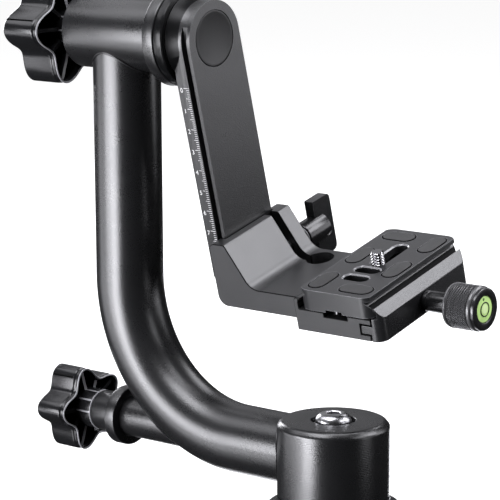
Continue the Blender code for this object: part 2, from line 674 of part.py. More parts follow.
def swing_arm():
    """The shaft with its flange, and the flat arm that a screw under the disc fastens to it."""
    pilot = HUB_FACE + PILOT_H - GAP
    stud = FRICTION_X - KNOB_NUT_H - KNOB_GRIP
    tap = pilot - HUB_SCREW_LENGTH
    flange = FLANGE_X + FLANGE_W
    profile = [(stud, 0), (stud, STUD_R - ROD_EDGE), (stud + ROD_EDGE, STUD_R), (HUB_START, STUD_R),
               (HUB_START, SHAFT_R), (FLANGE_X, SHAFT_R), (FLANGE_X, FLANGE_R - FLANGE_EDGE),
               (FLANGE_X + FLANGE_EDGE, FLANGE_R), (flange - FLANGE_EDGE, FLANGE_R),
               (flange, FLANGE_R - FLANGE_EDGE), (flange, PILOT_R), (pilot, PILOT_R),
               (pilot, HUB_SCREW_R + GAP), (tap, HUB_SCREW_R + GAP), (tap, 0)]
    solid("tilt_shaft", turned(profile, LARGE_SIDES), COATED, swing_pivot)
    steps = LARGE_SIDES // 2
    outline = [(ARM_HALF * cos(pi * k / steps), ARM_HALF * sin(pi * k / steps)) for k in range(steps + 1)]
    foot = rounded([(-ARM_HALF, -ARM_LENGTH, ARM_CORNER), (ARM_HALF, -ARM_LENGTH, ARM_CORNER),
                    (ARM_HALF, 0, 0), (-ARM_HALF, 0, 0)])
    outline += [point for point in foot if point[1] < 0]
    made = solid("swing_arm", prism(outline, ARM_REAR, ARM_FRONT, "X"), COATED, swing_pivot)
    cone = [(HUB_FACE, 0), (HUB_FACE, CONE_R), (HUB_FACE + CONE_H, ARM_HALF - GAP),
            (HUB_FACE + CONE_H, 0)]
    shape(made, turned(cone, MIDDLE_SIDES), "cone", "UNION")
    seat = HUB_FACE + PILOT_H
    head = ARM_FRONT - DISC_H - GAP - HUB_HEAD_H - GAP
    bore = [(ARM_REAR - OVER, 0), (ARM_REAR - OVER, PILOT_R + GAP), (seat, PILOT_R + GAP),
            (seat, HUB_SCREW_R + GAP), (head, HUB_SCREW_R + GAP), (head, HUB_HEAD_R + GAP),
            (ARM_FRONT - DISC_H - GAP, HUB_HEAD_R + GAP), (ARM_FRONT - DISC_H - GAP, DISC_R + GAP),
            (ARM_FRONT + OVER, DISC_R + GAP), (ARM_FRONT + OVER, 0)]
    shape(made, turned(bore, MIDDLE_SIDES), "hub_bore")
    grooves = bmesh.new()
    for side in (-1, 1):
        box((GROOVE_REAR, min(side * NECK_HALF, side * (ARM_HALF + OVER)), -ARM_LENGTH - OVER),
            (GROOVE_FRONT, max(side * NECK_HALF, side * (ARM_HALF + OVER)), ARM_HALF), grooves)
    shape(made, grooves, "grooves")
    solid("cap_disc", rod(ARM_FRONT - DISC_H, ARM_FRONT, DISC_R, MIDDLE_SIDES), PLASTIC, swing_pivot)
    under = head + GAP
    screw = [(tap + GAP, 0), (tap + GAP, HUB_SCREW_R), (under, HUB_SCREW_R), (under, HUB_HEAD_R),
             (under + HUB_HEAD_H - GAP, HUB_HEAD_R), (under + HUB_HEAD_H - GAP, 0)]
    made = solid("hub_screw", turned(screw, SMALL_SIDES), STEEL, swing_pivot)
    shape(made, prism(hexagon(HUB_HEX_R), under + HUB_HEAD_H / 2, under + HUB_HEAD_H + OVER, "X"),
          "hex_socket")


def clamp_section():
    """The bed of the clamp with its fixed jaw, seen along the plate."""
    lip = PLATE_X - JAW_LIP
    under = lip - JAW_UNDERCUT
    out = PLATE_X - JAW_OUT
    crest = LIP_Z + LIP_H
    end = PLATE_X + BED_END
    tongue = end - TONGUE_L
    return [(out, CLAMP_BOTTOM), (out, crest - JAW_SHOULDER), (out + JAW_SHOULDER, crest), (lip, crest),
            (lip, LIP_Z), (under, LIP_Z - JAW_UNDERCUT), (under, SEAT), (end, SEAT),
            (end, TONGUE_Z + TONGUE_H), (tongue, TONGUE_Z + TONGUE_H), (tongue, TONGUE_Z),
            (end - TONGUE_BACK, TONGUE_Z), (end - TONGUE_BACK, CLAMP_BOTTOM)]


def carriage():
    """The L bracket: a front wall and two side walls round the arm, a slit that closes on it, and the
    clamp's bed on its level part."""
    front = ARM_FRONT + GAP + BRACKET_WALL
    reach = PLATE_X - JAW_LIP - JAW_UNDERCUT - JAW_SHOULDER
    outline = rounded([(BRACKET_REAR, BRACKET_BOTTOM, HEEL_FILLET), (BRACKET_REAR, BRACKET_TOP, CREST_FILLET),
                       (front, BRACKET_TOP, CREST_FILLET / 2), (front + RAMP_RUN, SEAT, RAMP_FILLET),
                       (reach, SEAT, 0), (reach, BRACKET_BOTTOM, 0)])
    made = solid("carriage_bracket", prism(outline, -BRACKET_HALF, BRACKET_HALF), SATIN, carriage_slide)
    shape(made, prism(clamp_section(), -CLAMP_HALF, CLAMP_HALF), "clamp_bed", "UNION")
    wide = ARM_HALF + GAP
    narrow = NECK_HALF + GAP
    lips = GROOVE_FRONT - GAP
    wall = ARM_FRONT + GAP
    channel = [(BRACKET_REAR - OVER, -narrow), (lips, -narrow), (lips, -wide), (wall, -wide),
               (wall, wide), (lips, wide), (lips, narrow), (BRACKET_REAR - OVER, narrow)]
    low, high = CLAMP_BOTTOM - OVER, BRACKET_TOP + OVER
    shape(made, prism(channel, low, high, "Z"), "arm_channel")
    shape(made, box((wall - GAP, SLIT_V, low), (RELIEF_X, SLIT_V + SLIT_W, high)), "slit")
    shape(made, rod(low, high, RELIEF_R, SMALL_SIDES, "Z", (RELIEF_X, RELIEF_V, 0)), "relief_hole")
    shape(made, rod(LOCK_SCREW_END - GAP, BRACKET_HALF + OVER, LOCK_SCREW_R + GAP, TINY_SIDES, "Y",
                    (LOCK_X, 0, LOCK_Z)), "lock_bore")
    pockets = bmesh.new()
    for side in (-1, 1):
        ends = sorted((side * (CLAMP_HALF - POCKET_L), side * (CLAMP_HALF + OVER)))
        box((STOP_X - POCKET_HALF, ends[0], SEAT - POCKET_D), (STOP_X + POCKET_HALF, ends[1], SEAT + OVER),
            pockets)
    shape(made, pockets, "stop_pockets")
    end = PLATE_X + BED_END
    bores = rod(end - CLAMP_SCREW_REACH, end + OVER, CLAMP_SCREW_R + GAP, TINY_SIDES, centre=(0, 0, SCREW_Z))
    shape(made, bores, "screw_bore")
    tongue = end - TONGUE_L
    for side, label in ((-1, "near_pin_bore"), (1, "far_pin_bore")):
        shape(made, rod(tongue - PIN_IN_BED - GAP, tongue + OVER, PIN_R + GAP, TINY_SIDES,
                        centre=(0, side * PIN_V, TONGUE_Z + TONGUE_H / 2)), label)


def carriage_lock():
    """The screw across the slit, with its T handle, and the washer that it presses on the bracket."""
    seat = BRACKET_HALF + GAP
    solid("lock_washer", sleeve(seat, seat + LOCK_WASHER_H, LOCK_WASHER_R, LOCK_SCREW_R + GAP,
                                SMALL_SIDES, "Y"), STEEL, lock_slide)
    start = seat + LOCK_WASHER_H + GAP
    made = solid("lock_handle", rod(start, start + LOCK_BOSS_L + BAR_W / 2, LOCK_BOSS_R, SMALL_SIDES, "Y"),
                 COATED, handle_pivot)
    bar = [(start + LOCK_BOSS_L, -BAR_L / 2, BAR_CORNER), (start + LOCK_BOSS_L + BAR_W, -BAR_L / 2, BAR_CORNER),
           (start + LOCK_BOSS_L + BAR_W, BAR_L / 2, BAR_CORNER), (start + LOCK_BOSS_L, BAR_L / 2, ROD_EDGE)]
    shape(made, prism(rounded(bar, ARC_STEPS - 1), -BAR_T / 2, BAR_T / 2, "X"), "bar", "UNION")
    grip = start + LOCK_BOSS_L
    shape(made, rod(start - OVER, grip + GAP, LOCK_SCREW_R + GAP, TINY_SIDES, "Y"), "screw_bore")
    solid("lock_screw", rod(LOCK_SCREW_END, grip, LOCK_SCREW_R, TINY_SIDES, "Y"), STEEL, handle_pivot)


def moving_jaw():
    """The jaw that closes on the plate. Its tongue and two pins slide in the bed."""
    lip = PLATE_X + JAW_LIP
    under = lip + JAW_UNDERCUT
    inner = PLATE_X + BED_END + GAP
    crest = LIP_Z + LIP_H
    tongue = inner - TONGUE_L
    top = TONGUE_Z + TONGUE_H - GAP
    section = [(inner - TONGUE_BACK, CLAMP_BOTTOM), (inner - TONGUE_BACK, TONGUE_Z + GAP),
               (tongue, TONGUE_Z + GAP), (tongue, top), (inner, top), (inner, SEAT),
               (under, SEAT), (under, LIP_Z - JAW_UNDERCUT), (lip, LIP_Z), (lip, LIP_Z + LIP_H / 2),
               (JAW_FACE - JAW_SLOPE_W, crest), (JAW_FACE, crest - JAW_SLOPE_H), (JAW_FACE, CLAMP_BOTTOM)]
    made = solid("moving_jaw", prism(section, -CLAMP_HALF, CLAMP_HALF), SATIN, jaw_slide)
    inside = tongue - OVER
    plan = rounded([(inside, -CLAMP_HALF, 0), (JAW_FACE, -CLAMP_HALF, JAW_CORNER),
                    (JAW_FACE, CLAMP_HALF, JAW_CORNER), (inside, CLAMP_HALF, 0)])
    shape(made, prism(plan, CLAMP_BOTTOM - OVER, crest + OVER, "Z"), "round_corners", "INTERSECT")
    shape(made, rod(inside, JAW_FACE + OVER, CLAMP_SCREW_R + GAP, TINY_SIDES, centre=(0, 0, SCREW_Z)),
          "screw_bore")
    middle = TONGUE_Z + TONGUE_H / 2
    for side, name in ((-1, "jaw_pin_near"), (1, "jaw_pin_far")):
        at = (0, side * PIN_V, middle)
        shape(made, rod(inside, tongue + PIN_IN_JAW + GAP, PIN_R + GAP, TINY_SIDES, centre=at),
              name + "_bore")
        solid(name, rod(tongue - PIN_IN_BED, tongue + PIN_IN_JAW, PIN_R, TINY_SIDES, centre=at), STEEL,
              jaw_slide)


def clamp_knob():
    """The clamp's screw, its knurled knob and the level in the knob's end, on the screw's axis."""
    stem = JAW_FACE + GAP
    collar = stem + STEM_L
    profile = [(PLATE_X + BED_END - CLAMP_SCREW_REACH + GAP, 0),
               (PLATE_X + BED_END - CLAMP_SCREW_REACH + GAP, CLAMP_SCREW_R), (stem, CLAMP_SCREW_R),
               (stem, STEM_R), (collar, STEM_R), (collar, SPIGOT_R), (collar + SPIGOT_L, SPIGOT_R),
               (collar + SPIGOT_L, 0)]
    solid("clamp_screw", turned(profile, SMALL_SIDES), SATIN, clamp_knob_pivot)
    start = collar + GAP
    end = start + GRIP_L
    groove = end - GRIP_GROOVE_SET
    floor = end - BEZEL_BODY_H - GAP
    knob = [(start, SPIGOT_R + GAP), (start, GRIP_R - GRIP_EDGE), (start + GRIP_EDGE, GRIP_R)]
    for k in (2, 1):
        at = groove - 2 * k * GRIP_GROOVE_W
        knob += [(at, GRIP_R), (at + GRIP_GROOVE_W / 4, GRIP_R - GRIP_GROOVE_D),
                 (at + GRIP_GROOVE_W * 3 / 4, GRIP_R - GRIP_GROOVE_D), (at + GRIP_GROOVE_W, GRIP_R)]
    knob += [(end - GRIP_EDGE, GRIP_R), (end, GRIP_R - GRIP_EDGE), (end, BEZEL_BODY_R + GAP),
             (floor, BEZEL_BODY_R + GAP), (floor, SPIGOT_R + GAP)]
    solid("clamp_knob", turned(knob, MIDDLE_SIDES, True), COATED, clamp_knob_pivot)
    flange = end + GAP
    vial = flange + BEZEL_H - VIAL_SET
    bezel = [(floor + GAP, 0), (floor + GAP, BEZEL_BODY_R), (flange, BEZEL_BODY_R), (flange, BEZEL_R),
             (flange + BEZEL_H - BEZEL_EDGE, BEZEL_R), (flange + BEZEL_H, BEZEL_R - BEZEL_EDGE),
             (flange + BEZEL_H, VIAL_R + GAP), (vial - VIAL_H - GAP, VIAL_R + GAP),
             (vial - VIAL_H - GAP, 0)]
    solid("level_bezel", turned(bezel, MIDDLE_SIDES), PLASTIC, clamp_knob_pivot)
    solid("level_vial", rod(vial - VIAL_H, vial, VIAL_R, SMALL_SIDES), LIQUID, clamp_knob_pivot)


def pad_places():
    """Where the six rubber pads lie: (x, v, across the plate)."""
    places = []
    for side in (-1, 1):
        places += [(PLATE_X + side * PAD_SIDE_X, side * PAD_FAR_V, False),
                   (PLATE_X + side * PAD_SIDE_X, -side * PAD_NEAR_V, False),
                   (PLATE_X - side * PAD_END_X, side * PAD_END_V, True)]
    return places


def plate():
    """The quick-release plate: a top flange, a neck and a dovetail that the jaws close on."""
    lip = PLATE_X + JAW_LIP - GAP
    foot = lip + JAW_UNDERCUT
    neck = PLATE_X + PLATE_HALF - PLATE_NECK_IN
    under = PLATE_TOP - PLATE_FLANGE_H
    rise = LIP_Z + (lip - neck)
    right = [(foot, PLATE_BOTTOM), (foot, LIP_Z - JAW_UNDERCUT), (neck, rise), (neck, under - PLATE_NECK_H),
             (PLATE_X + PLATE_HALF, under), (PLATE_X + PLATE_HALF, PLATE_TOP)]
    section = right + list(reversed(mirrored(right, PLATE_X)))
    made = solid("qr_plate", prism(section, -PLATE_END, PLATE_END), SATIN, plate_slide)
    tips = bmesh.new()
    for side in (-1, 1):
        for end in (-1, 1):
            # One corner as seen from above, with the waste beyond it
            x = PLATE_X + side * (foot - PLATE_X - PLATE_CORNER)
            v = end * (PLATE_END - PLATE_CORNER)
            steps = ARC_STEPS + 2
            arc = [(x + side * PLATE_CORNER * cos(pi / 2 * k / steps),
                    v + end * PLATE_CORNER * sin(pi / 2 * k / steps)) for k in range(steps + 1)]
            away = (x + side * (PLATE_CORNER + OVER), v + end * (PLATE_CORNER + OVER))
            arc = arc + [(arc[-1][0], away[1]), away, (away[0], arc[0][1])]
            prism(arc, PLATE_BOTTOM - OVER, PLATE_TOP + OVER, "Z", tips)
    shape(made, tips, "round_corners")
    notches = bmesh.new()
    for side in (-1, 1):
        ends = sorted((side * (PLATE_END - PLATE_NOTCH_L), side * (PLATE_END + OVER)))
        box((STOP_X - PLATE_NOTCH_HALF, ends[0], PLATE_BOTTOM - OVER),
            (STOP_X + PLATE_NOTCH_HALF, ends[1], PLATE_BOTTOM + PLATE_NOTCH_D), notches)
    shape(made, notches, "stop_notches")
    slots = bmesh.new()
    for v in SIDE_SLOT_V:
        prism(stadium(PLATE_X, v, SIDE_SLOT_RUN, SIDE_SLOT_HALF, True), PLATE_BOTTOM - OVER,
              PLATE_TOP + OVER, "Z", slots)
    prism(stadium(PLATE_X, SLOT_START + SLOT_RUN / 2, SLOT_RUN, SLOT_HALF), PLATE_BOTTOM - OVER,
          PLATE_TOP + OVER, "Z", slots)
    shape(made, slots, "slots")
    room = CAMERA_HEAD_R + POCKET_PLAY
    shape(made, prism(stadium(PLATE_X, SLOT_START + SLOT_RUN / 2, SLOT_RUN, room), PLATE_BOTTOM - OVER,
                      LEDGE, "Z"), "head_pocket")
    beds = bmesh.new()
    for x, v, across in pad_places():
        prism(stadium(x, v, PAD_L - PAD_W, PAD_W / 2 + GAP, across), PLATE_TOP - PAD_DEEP - GAP,
              PLATE_TOP + OVER, "Z", beds)
    shape(made, beds, "pad_beds")
    holes = bmesh.new()
    for side in (-1, 1):
        at = [(STOP_X + (STOP_R + GAP) * cos(2 * pi * k / TINY_SIDES),
               side * STOP_V + (STOP_R + GAP) * sin(2 * pi * k / TINY_SIDES)) for k in range(TINY_SIDES)]
        prism(at, PLATE_BOTTOM - OVER, PLATE_BOTTOM + STOP_L + GAP, "Z", holes)
    shape(made, holes, "stop_holes")
    for number, (x, v, across) in enumerate(pad_places(), 1):
        pad = prism(stadium(x, v, PAD_L - PAD_W, PAD_W / 2, across), PLATE_TOP - PAD_DEEP,
                    PLATE_TOP + PAD_PROUD, "Z")
        solid(f"pad_{number}", pad, RUBBER, plate_slide)
    for side, name in ((-1, "plate_stop_near"), (1, "plate_stop_far")):
        head = PLATE_BOTTOM + PLATE_NOTCH_D - GAP
        profile = [(head - STOP_HEAD_H, 0), (head - STOP_HEAD_H, STOP_HEAD_R), (head, STOP_HEAD_R),
                   (head, STOP_R), (PLATE_BOTTOM + STOP_L, STOP_R), (PLATE_BOTTOM + STOP_L, 0)]
        solid(name, turned(profile, TINY_SIDES, axis="Z", centre=(STOP_X, side * STOP_V, 0)), STEEL,
              plate_slide)


def camera_screw():
    """The camera screw in the long slot, with the washer that slides with it under the ledge."""
    ring = LEDGE - GAP
    solid("screw_retainer", sleeve(ring - RETAINER_H, ring, RETAINER_R, CAMERA_R + GAP, SMALL_SIDES, "Z",
                                   (PLATE_X, SLOT_START, 0)), STEEL, screw_slide)
    head = ring - RETAINER_H - GAP
    tip = PLATE_TOP + CAMERA_STAND
    profile = [(head - CAMERA_HEAD_H, 0), (head - CAMERA_HEAD_H, CAMERA_HEAD_R), (head, CAMERA_HEAD_R),
               (head, CAMERA_R), (tip - CAMERA_TIP, CAMERA_R), (tip, CAMERA_R - CAMERA_TIP), (tip, 0)]
    made = solid("camera_screw", turned(profile, SMALL_SIDES, axis="Z"), STEEL, camera_pivot)
    foot = head - CAMERA_HEAD_H
    reach = CAMERA_HEAD_R + OVER
    shape(made, box((-reach, -CAMERA_SLOT_W / 2, foot - OVER),
                    (reach, CAMERA_SLOT_W / 2, foot + CAMERA_SLOT_D)), "driver_slot")


base()
pan_housing()
j_tube()
tilt_housing()
pan_lock()
swing_arm()
tilt_lock()
carriage()
carriage_lock()
moving_jaw()
clamp_knob()
plate()
camera_screw()
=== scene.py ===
# %% [markdown]
# # A gimbal tripod head
# This head carries a long lens. A J-shaped arm pans on a round base, and a flat swing arm hangs from the
# top of the J like a pendulum. A clamp with a quick-release plate slides on the swing arm.
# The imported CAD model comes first. It is a fixed frame: nothing in it is moved, and the pieces made below
# take the place of its plain shapes.

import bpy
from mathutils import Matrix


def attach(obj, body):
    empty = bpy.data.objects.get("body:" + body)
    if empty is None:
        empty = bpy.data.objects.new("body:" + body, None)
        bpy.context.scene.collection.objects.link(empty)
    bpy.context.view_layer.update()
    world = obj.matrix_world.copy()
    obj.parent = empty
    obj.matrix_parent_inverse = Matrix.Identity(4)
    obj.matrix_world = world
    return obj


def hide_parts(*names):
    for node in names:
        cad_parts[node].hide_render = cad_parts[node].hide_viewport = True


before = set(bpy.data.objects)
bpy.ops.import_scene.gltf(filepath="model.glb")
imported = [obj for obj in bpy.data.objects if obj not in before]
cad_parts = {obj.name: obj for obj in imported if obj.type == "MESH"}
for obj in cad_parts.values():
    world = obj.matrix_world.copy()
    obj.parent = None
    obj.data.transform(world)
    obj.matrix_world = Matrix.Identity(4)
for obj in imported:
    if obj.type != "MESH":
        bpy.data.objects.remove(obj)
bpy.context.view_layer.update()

# %% [markdown]
# ## Tools
# bmesh builds the shapes point by point, and mathutils turns and moves them.

# %% Imports
from math import atan2, cos, pi, radians, sin, sqrt, tan

import bmesh
import bpy
from mathutils import Matrix, Vector

print("Blender", bpy.app.version_string)

# %% [markdown]
# ## The camera
# The photo was taken from the front right and a little above, with a long lens. A long lens far away keeps
# upright edges parallel, so the camera stands about a metre off and its focal length is 170 mm.
# It is made first, because every look is judged through it.

# %% Camera
eye = Vector((0.624417, -0.809171, 0.3145))
yaw, pitch, roll = radians(39.660), radians(-10.261), radians(-0.321)
ahead = Vector((-sin(yaw) * cos(pitch), cos(yaw) * cos(pitch), sin(pitch)))
right = Vector((cos(yaw), sin(yaw), 0))
up = right.cross(ahead)
across, upward = right * cos(roll) + up * sin(roll), up * cos(roll) - right * sin(roll)
lens = bpy.data.cameras.new("photo_camera")
lens.lens, lens.sensor_width, lens.sensor_fit = 170.57, 36.0, "HORIZONTAL"
lens.shift_x, lens.shift_y = -0.0042, -0.0226
lens.clip_start, lens.clip_end = 0.05, 20
camera = bpy.data.objects.new("photo_camera", lens)
camera.matrix_world = Matrix((across, upward, -ahead)).transposed().to_4x4()
camera.location = eye
bpy.context.scene.collection.objects.link(camera)
bpy.context.scene.camera = camera
print("camera", round(eye.length, 3), "m from the base")

# %% [markdown]
# ## Nodes in few words
# A material is a small network of nodes. These helpers add a node, set or link its sockets by name, add
# numbers and blend colours, so that each material below reads like a recipe. Every node group takes a
# Vector and some amounts, and gives values with names.

# %% Node helpers
def plug(tree, target, sockets):
    """Fills a node's sockets. A value is a number, a colour or another node's output."""
    for name, value in sockets.items():
        socket = target.inputs[name]
        if isinstance(value, bpy.types.NodeSocket):
            tree.links.new(value, socket)
        else:
            socket.default_value = value


def node(tree, kind, sockets=None, **settings):
    """Adds a node with its settings and sockets."""
    made = tree.nodes.new("ShaderNode" + kind)
    for name, value in settings.items():
        setattr(made, name, value)
    plug(tree, made, sockets or {})
    return made


def sums(tree, operation, *values):
    """The output of a Math node over one, two or three values."""
    return node(tree, "Math", dict(enumerate(values)), operation=operation).outputs[0]


def blend(tree, share, first, second):
    """The output of a colour Mix node."""
    return node(tree, "Mix", {0: share, 6: first, 7: second}, data_type="RGBA").outputs[2]


def group(name, amounts, results):
    """An empty node group with the outputs of its input node and its output node."""
    made = bpy.data.node_groups.new(name, "ShaderNodeTree")
    made.interface.new_socket("Vector", in_out="INPUT", socket_type="NodeSocketVector")
    for label, value in amounts.items():
        made.interface.new_socket(label, in_out="INPUT", socket_type="NodeSocketFloat").default_value = value
    for label in results:
        made.interface.new_socket(label, in_out="OUTPUT", socket_type="NodeSocketFloat")
    print(f"group {name}: gives {', '.join(results)}")
    return made, made.nodes.new("NodeGroupInput").outputs, made.nodes.new("NodeGroupOutput")


print("node helpers ready")

# %% [markdown]
# ## Grain
# Powder coat and moulded plastic aren't smooth up close. They have small soft bumps, a few tenths of a
# millimetre across. One noise gives the bumps and a wider one lets them swell and fade, because an even
# grain looks printed. The group puts out a height for a Bump node and a speckle that shifts the colour.

# %% Group: surface grain
grain, takes, gives = group("surface grain", {"Grains per metre": 2600, "Unevenness": 0.4}, ["Height", "Speckle"])
fine = node(grain, "TexNoise", {"Vector": takes["Vector"], "Scale": takes["Grains per metre"], "Detail": 2.0,
                                "Roughness": 0.55}).outputs["Fac"]
patches = node(grain, "TexNoise", {"Vector": takes["Vector"], "Scale": 90.0, "Detail": 3.0}).outputs["Fac"]
fade = sums(grain, "MULTIPLY_ADD", patches, takes["Unevenness"], 0.8)
half_patches = sums(grain, "MULTIPLY", patches, 0.5)
plug(grain, gives, {"Height": sums(grain, "MULTIPLY", fine, fade),
                    "Speckle": sums(grain, "MULTIPLY_ADD", fine, 0.5, half_patches)})

# %% [markdown]
# ## Worn edges
# A coat is thinnest on an edge, and handling polishes it there. Cycles' Bevel node rounds the normals near
# an edge, so where it differs from the true normal there is an edge. Noise breaks the line up, because
# wear is never even.

# %% Group: worn edges
worn, takes, gives = group("worn edges", {"Width": 0.0005, "Strength": 1.0, "Breaks per metre": 400}, ["Mask"])
round_normal = node(worn, "Bevel", {"Radius": takes["Width"]}, samples=6).outputs[0]
true_normal = node(worn, "NewGeometry").outputs["Normal"]
same = node(worn, "VectorMath", {0: round_normal, 1: true_normal}, operation="DOT_PRODUCT").outputs["Value"]
near_edge = sums(worn, "MULTIPLY", sums(worn, "SUBTRACT", 1.0, same), 7.0)
breaks = node(worn, "TexNoise", {"Vector": takes["Vector"], "Scale": takes["Breaks per metre"], "Detail": 3.0})
ragged = node(worn, "MapRange", {"Value": breaks.outputs["Fac"], "From Min": 0.3, "From Max": 0.65, "To Min": 0.35})
mask = sums(worn, "MULTIPLY", sums(worn, "MULTIPLY", near_edge, ragged.outputs[0]), takes["Strength"])
plug(worn, gives, {"Mask": node(worn, "Clamp", {"Value": mask}).outputs[0]})

# %% [markdown]
# ## Handling marks
# Hands leave a faint film, and cloths leave hair-fine lines. Both change the gloss more than the colour.
# Stretching a noise along one direction turns its spots into lines.

# %% Group: handling marks
marks, takes, gives = group("handling marks", {"Amount": 0.08}, ["Gloss", "Dust"])
film = node(marks, "TexNoise", {"Vector": takes["Vector"], "Scale": 38.0, "Detail": 4.0,
                                "Distortion": 0.6}).outputs["Fac"]
stretch = node(marks, "Mapping", {"Vector": takes["Vector"], "Rotation": (0.3, 0.5, 0.2), "Scale": (3000, 60, 200)})
hairs = node(marks, "TexNoise", {"Vector": stretch.outputs[0], "Scale": 1.0, "Detail": 1.0})
hair = node(marks, "MapRange", {"Value": hairs.outputs["Fac"], "From Min": 0.66, "From Max": 0.74})
level = sums(marks, "SUBTRACT", sums(marks, "MULTIPLY_ADD", hair.outputs[0], 0.3, film), 0.5)
specks = node(marks, "TexVoronoi", {"Vector": takes["Vector"], "Scale": 700.0}, feature="F1")
dot = node(marks, "MapRange", {"Value": specks.outputs["Distance"], "From Min": 0.05, "From Max": 0.09, "To Min": 1.0,
                               "To Max": 0.0})
thin = node(marks, "MapRange", {"Value": film, "From Min": 0.55, "From Max": 0.7})
plug(marks, gives, {"Gloss": sums(marks, "MULTIPLY", level, takes["Amount"]),
                    "Dust": sums(marks, "MULTIPLY", dot.outputs[0], thin.outputs[0])})

# %% [markdown]
# ## Turning lines
# A lathe leaves a fine spiral. Seen on the side of a round piece it is a row of rings, and on its end it is
# a target. Distance along the axis plus distance from it gives both at once.

# %% Group: turning lines
turning, takes, gives = group("turning lines", {"Lines per metre": 4000}, ["Height"])
parts = node(turning, "SeparateXYZ", {0: takes["Vector"]}).outputs
squares = sums(turning, "ADD", sums(turning, "MULTIPLY", parts["Y"], parts["Y"]),
               sums(turning, "MULTIPLY", parts["X"], parts["X"]))
out_and_along = sums(turning, "ADD", sums(turning, "SQRT", squares), parts["Z"])
count = sums(turning, "MULTIPLY", out_and_along, takes["Lines per metre"])
rings = sums(turning, "SINE", sums(turning, "MULTIPLY", count, 6.283))
spread = node(turning, "CombineXYZ", {"X": sums(turning, "MULTIPLY", out_and_along, 900.0)}).outputs[0]
chatter = node(turning, "TexNoise", {"Vector": spread, "Scale": 1.0, "Detail": 2.0}).outputs["Fac"]
half_rings = sums(turning, "MULTIPLY", rings, 0.5)
plug(turning, gives, {"Height": sums(turning, "MULTIPLY_ADD", chatter, 1.5, half_rings)})

# %% [markdown]
# ## A recipe for a finish
# Every finish on this head is the same stack: a ground colour, speckle and dust on it, a lighter worn edge,
# a gloss that the handling marks disturb, and a bump. Only the amounts differ, so one function builds the
# stack and each finish names its amounts. The Principled shader stays in the material itself.
# The first finish is the powder coat of the cast and turned parts, and the second one is painted shade: a near
# black painted on grooves, recesses, slits and edges where shade falls.

# %% The recipe, and two finishes that many pieces share
DUST = (0.35, 0.34, 0.32, 1)


def finish(name, ground, gloss, metal=0.0, grains=2600, depth=0.00003, speckle=0.25, wear=0.5, edge=None,
           edge_width=0.0004, lines=0, marks_by=0.03, **shader):
    """One material. Ground and edge are linear colours, gloss is the roughness, depth and width are in metres."""
    made = bpy.data.materials.new(name)
    made.use_nodes = True
    made.diffuse_color = (*ground, 1)
    tree = made.node_tree
    place = node(tree, "TexCoord").outputs["Object"]
    bumps = node(tree, "Group", {"Vector": place, "Grains per metre": grains}, node_tree=grain)
    touched = node(tree, "Group", {"Vector": place, "Amount": marks_by}, node_tree=marks)
    edges = node(tree, "Group", {"Vector": place, "Width": edge_width, "Strength": wear}, node_tree=worn)
    speckles, rubbed = bumps.outputs["Speckle"], edges.outputs["Mask"]
    dark, light = [(*(min(1, c * share) for c in ground), 1) for share in (1 - speckle, 1 + speckle)]
    bare = (*(edge or [min(1, c * 3 + 0.03) for c in ground]), 1)
    colour = blend(tree, speckles, dark, light)
    colour = blend(tree, sums(tree, "MULTIPLY", touched.outputs["Dust"], 0.12), colour, DUST)
    shine = sums(tree, "MULTIPLY_ADD", speckles, 0.08, sums(tree, "ADD", touched.outputs["Gloss"], gloss))
    relief = {"Height": bumps.outputs["Height"], "Distance": depth, "Strength": 1.0}
    if lines:
        cut = node(tree, "Group", {"Vector": place, "Lines per metre": lines}, node_tree=turning)
        relief["Normal"] = node(tree, "Bump", {"Height": cut.outputs["Height"], "Distance": depth * 0.5,
                                               "Strength": 0.6}).outputs[0]
    plug(tree, tree.nodes["Principled BSDF"], {
        "Base Color": blend(tree, rubbed, colour, bare), "Metallic": metal,
        "Roughness": sums(tree, "MULTIPLY_ADD", rubbed, -0.12, shine),
        "Normal": node(tree, "Bump", relief).outputs[0],
        **{socket.replace("_", " "): value for socket, value in shader.items()}})
    print("finish:", name)
    return made


black_coat = finish("black powder coat", (0.006, 0.0061, 0.0065), 0.24, grains=1700, depth=0.00005)
# Painted shade: near black painted where grooves, recesses and gaps would fall into shade.
painted_shade_black = finish("painted shade black", (0.0012, 0.0012, 0.0013), 0.75, grains=1900, depth=0.00002, wear=0.0,
                      Specular_IOR_Level=0.1)

# %% [markdown]
# ## Places
# Every piece is drawn in millimetres in the place that it has on the head, and scaled to metres at the end.
# Four places serve the round pieces and the arm: upright on the base, along the pan lock's rod, along the
# cross tube, and hanging with the swing arm, which leans forward by nearly fifteen degrees.

# %% Places
MM = 0.001
PAN_TOP, ROD_Z, TILT_Z, LEAN = 47.75, 30.1, 213.5, 14.8
CLEARANCE = 0.3
UPRIGHT = Matrix.Identity(4)
PAN_LOCK = Matrix.Translation((0, 0, ROD_Z))
CROSS = Matrix.Translation((0, 0, TILT_Z))
SWING = CROSS @ Matrix.Rotation(radians(LEAN), 4, "X")
print("tilt axis", TILT_Z, "mm up, arm leans", LEAN, "degrees")

# %% [markdown]
# ## Workshop: drawing bodies
# Round pieces are turned from a profile of (along, radius) points, as on a lathe. Flat ones are drawn out
# from an outline, as a profile is milled. Both are rows of points with faces between them.

# %% Workshop: outlines
def rounded(corners, steps=4):
    """An outline from corners. One with a radius, (a, b, radius), is rounded by it, and (a, b) stays sharp."""
    outline = []
    for i, (*corner, last) in enumerate(corners):
        if len(corner) < 2:
            outline.append((corner[0], last))
            continue
        here, radius = Vector(corner), last
        before, after = (Vector(corners[k % len(corners)][:2]) - here for k in (i - 1, i + 1))
        half = before.angle(after) / 2
        before.normalize()
        after.normalize()
        middle = here + (before + after).normalized() * (radius / sin(half))
        start, end = (here + way * (radius / tan(half)) - middle for way in (before, after))
        first = atan2(start.y, start.x)
        sweep = (atan2(end.y, end.x) - first + pi) % (2 * pi) - pi
        outline += [(middle.x + radius * cos(first + sweep * k / steps),
                     middle.y + radius * sin(first + sweep * k / steps)) for k in range(steps + 1)]
    return outline


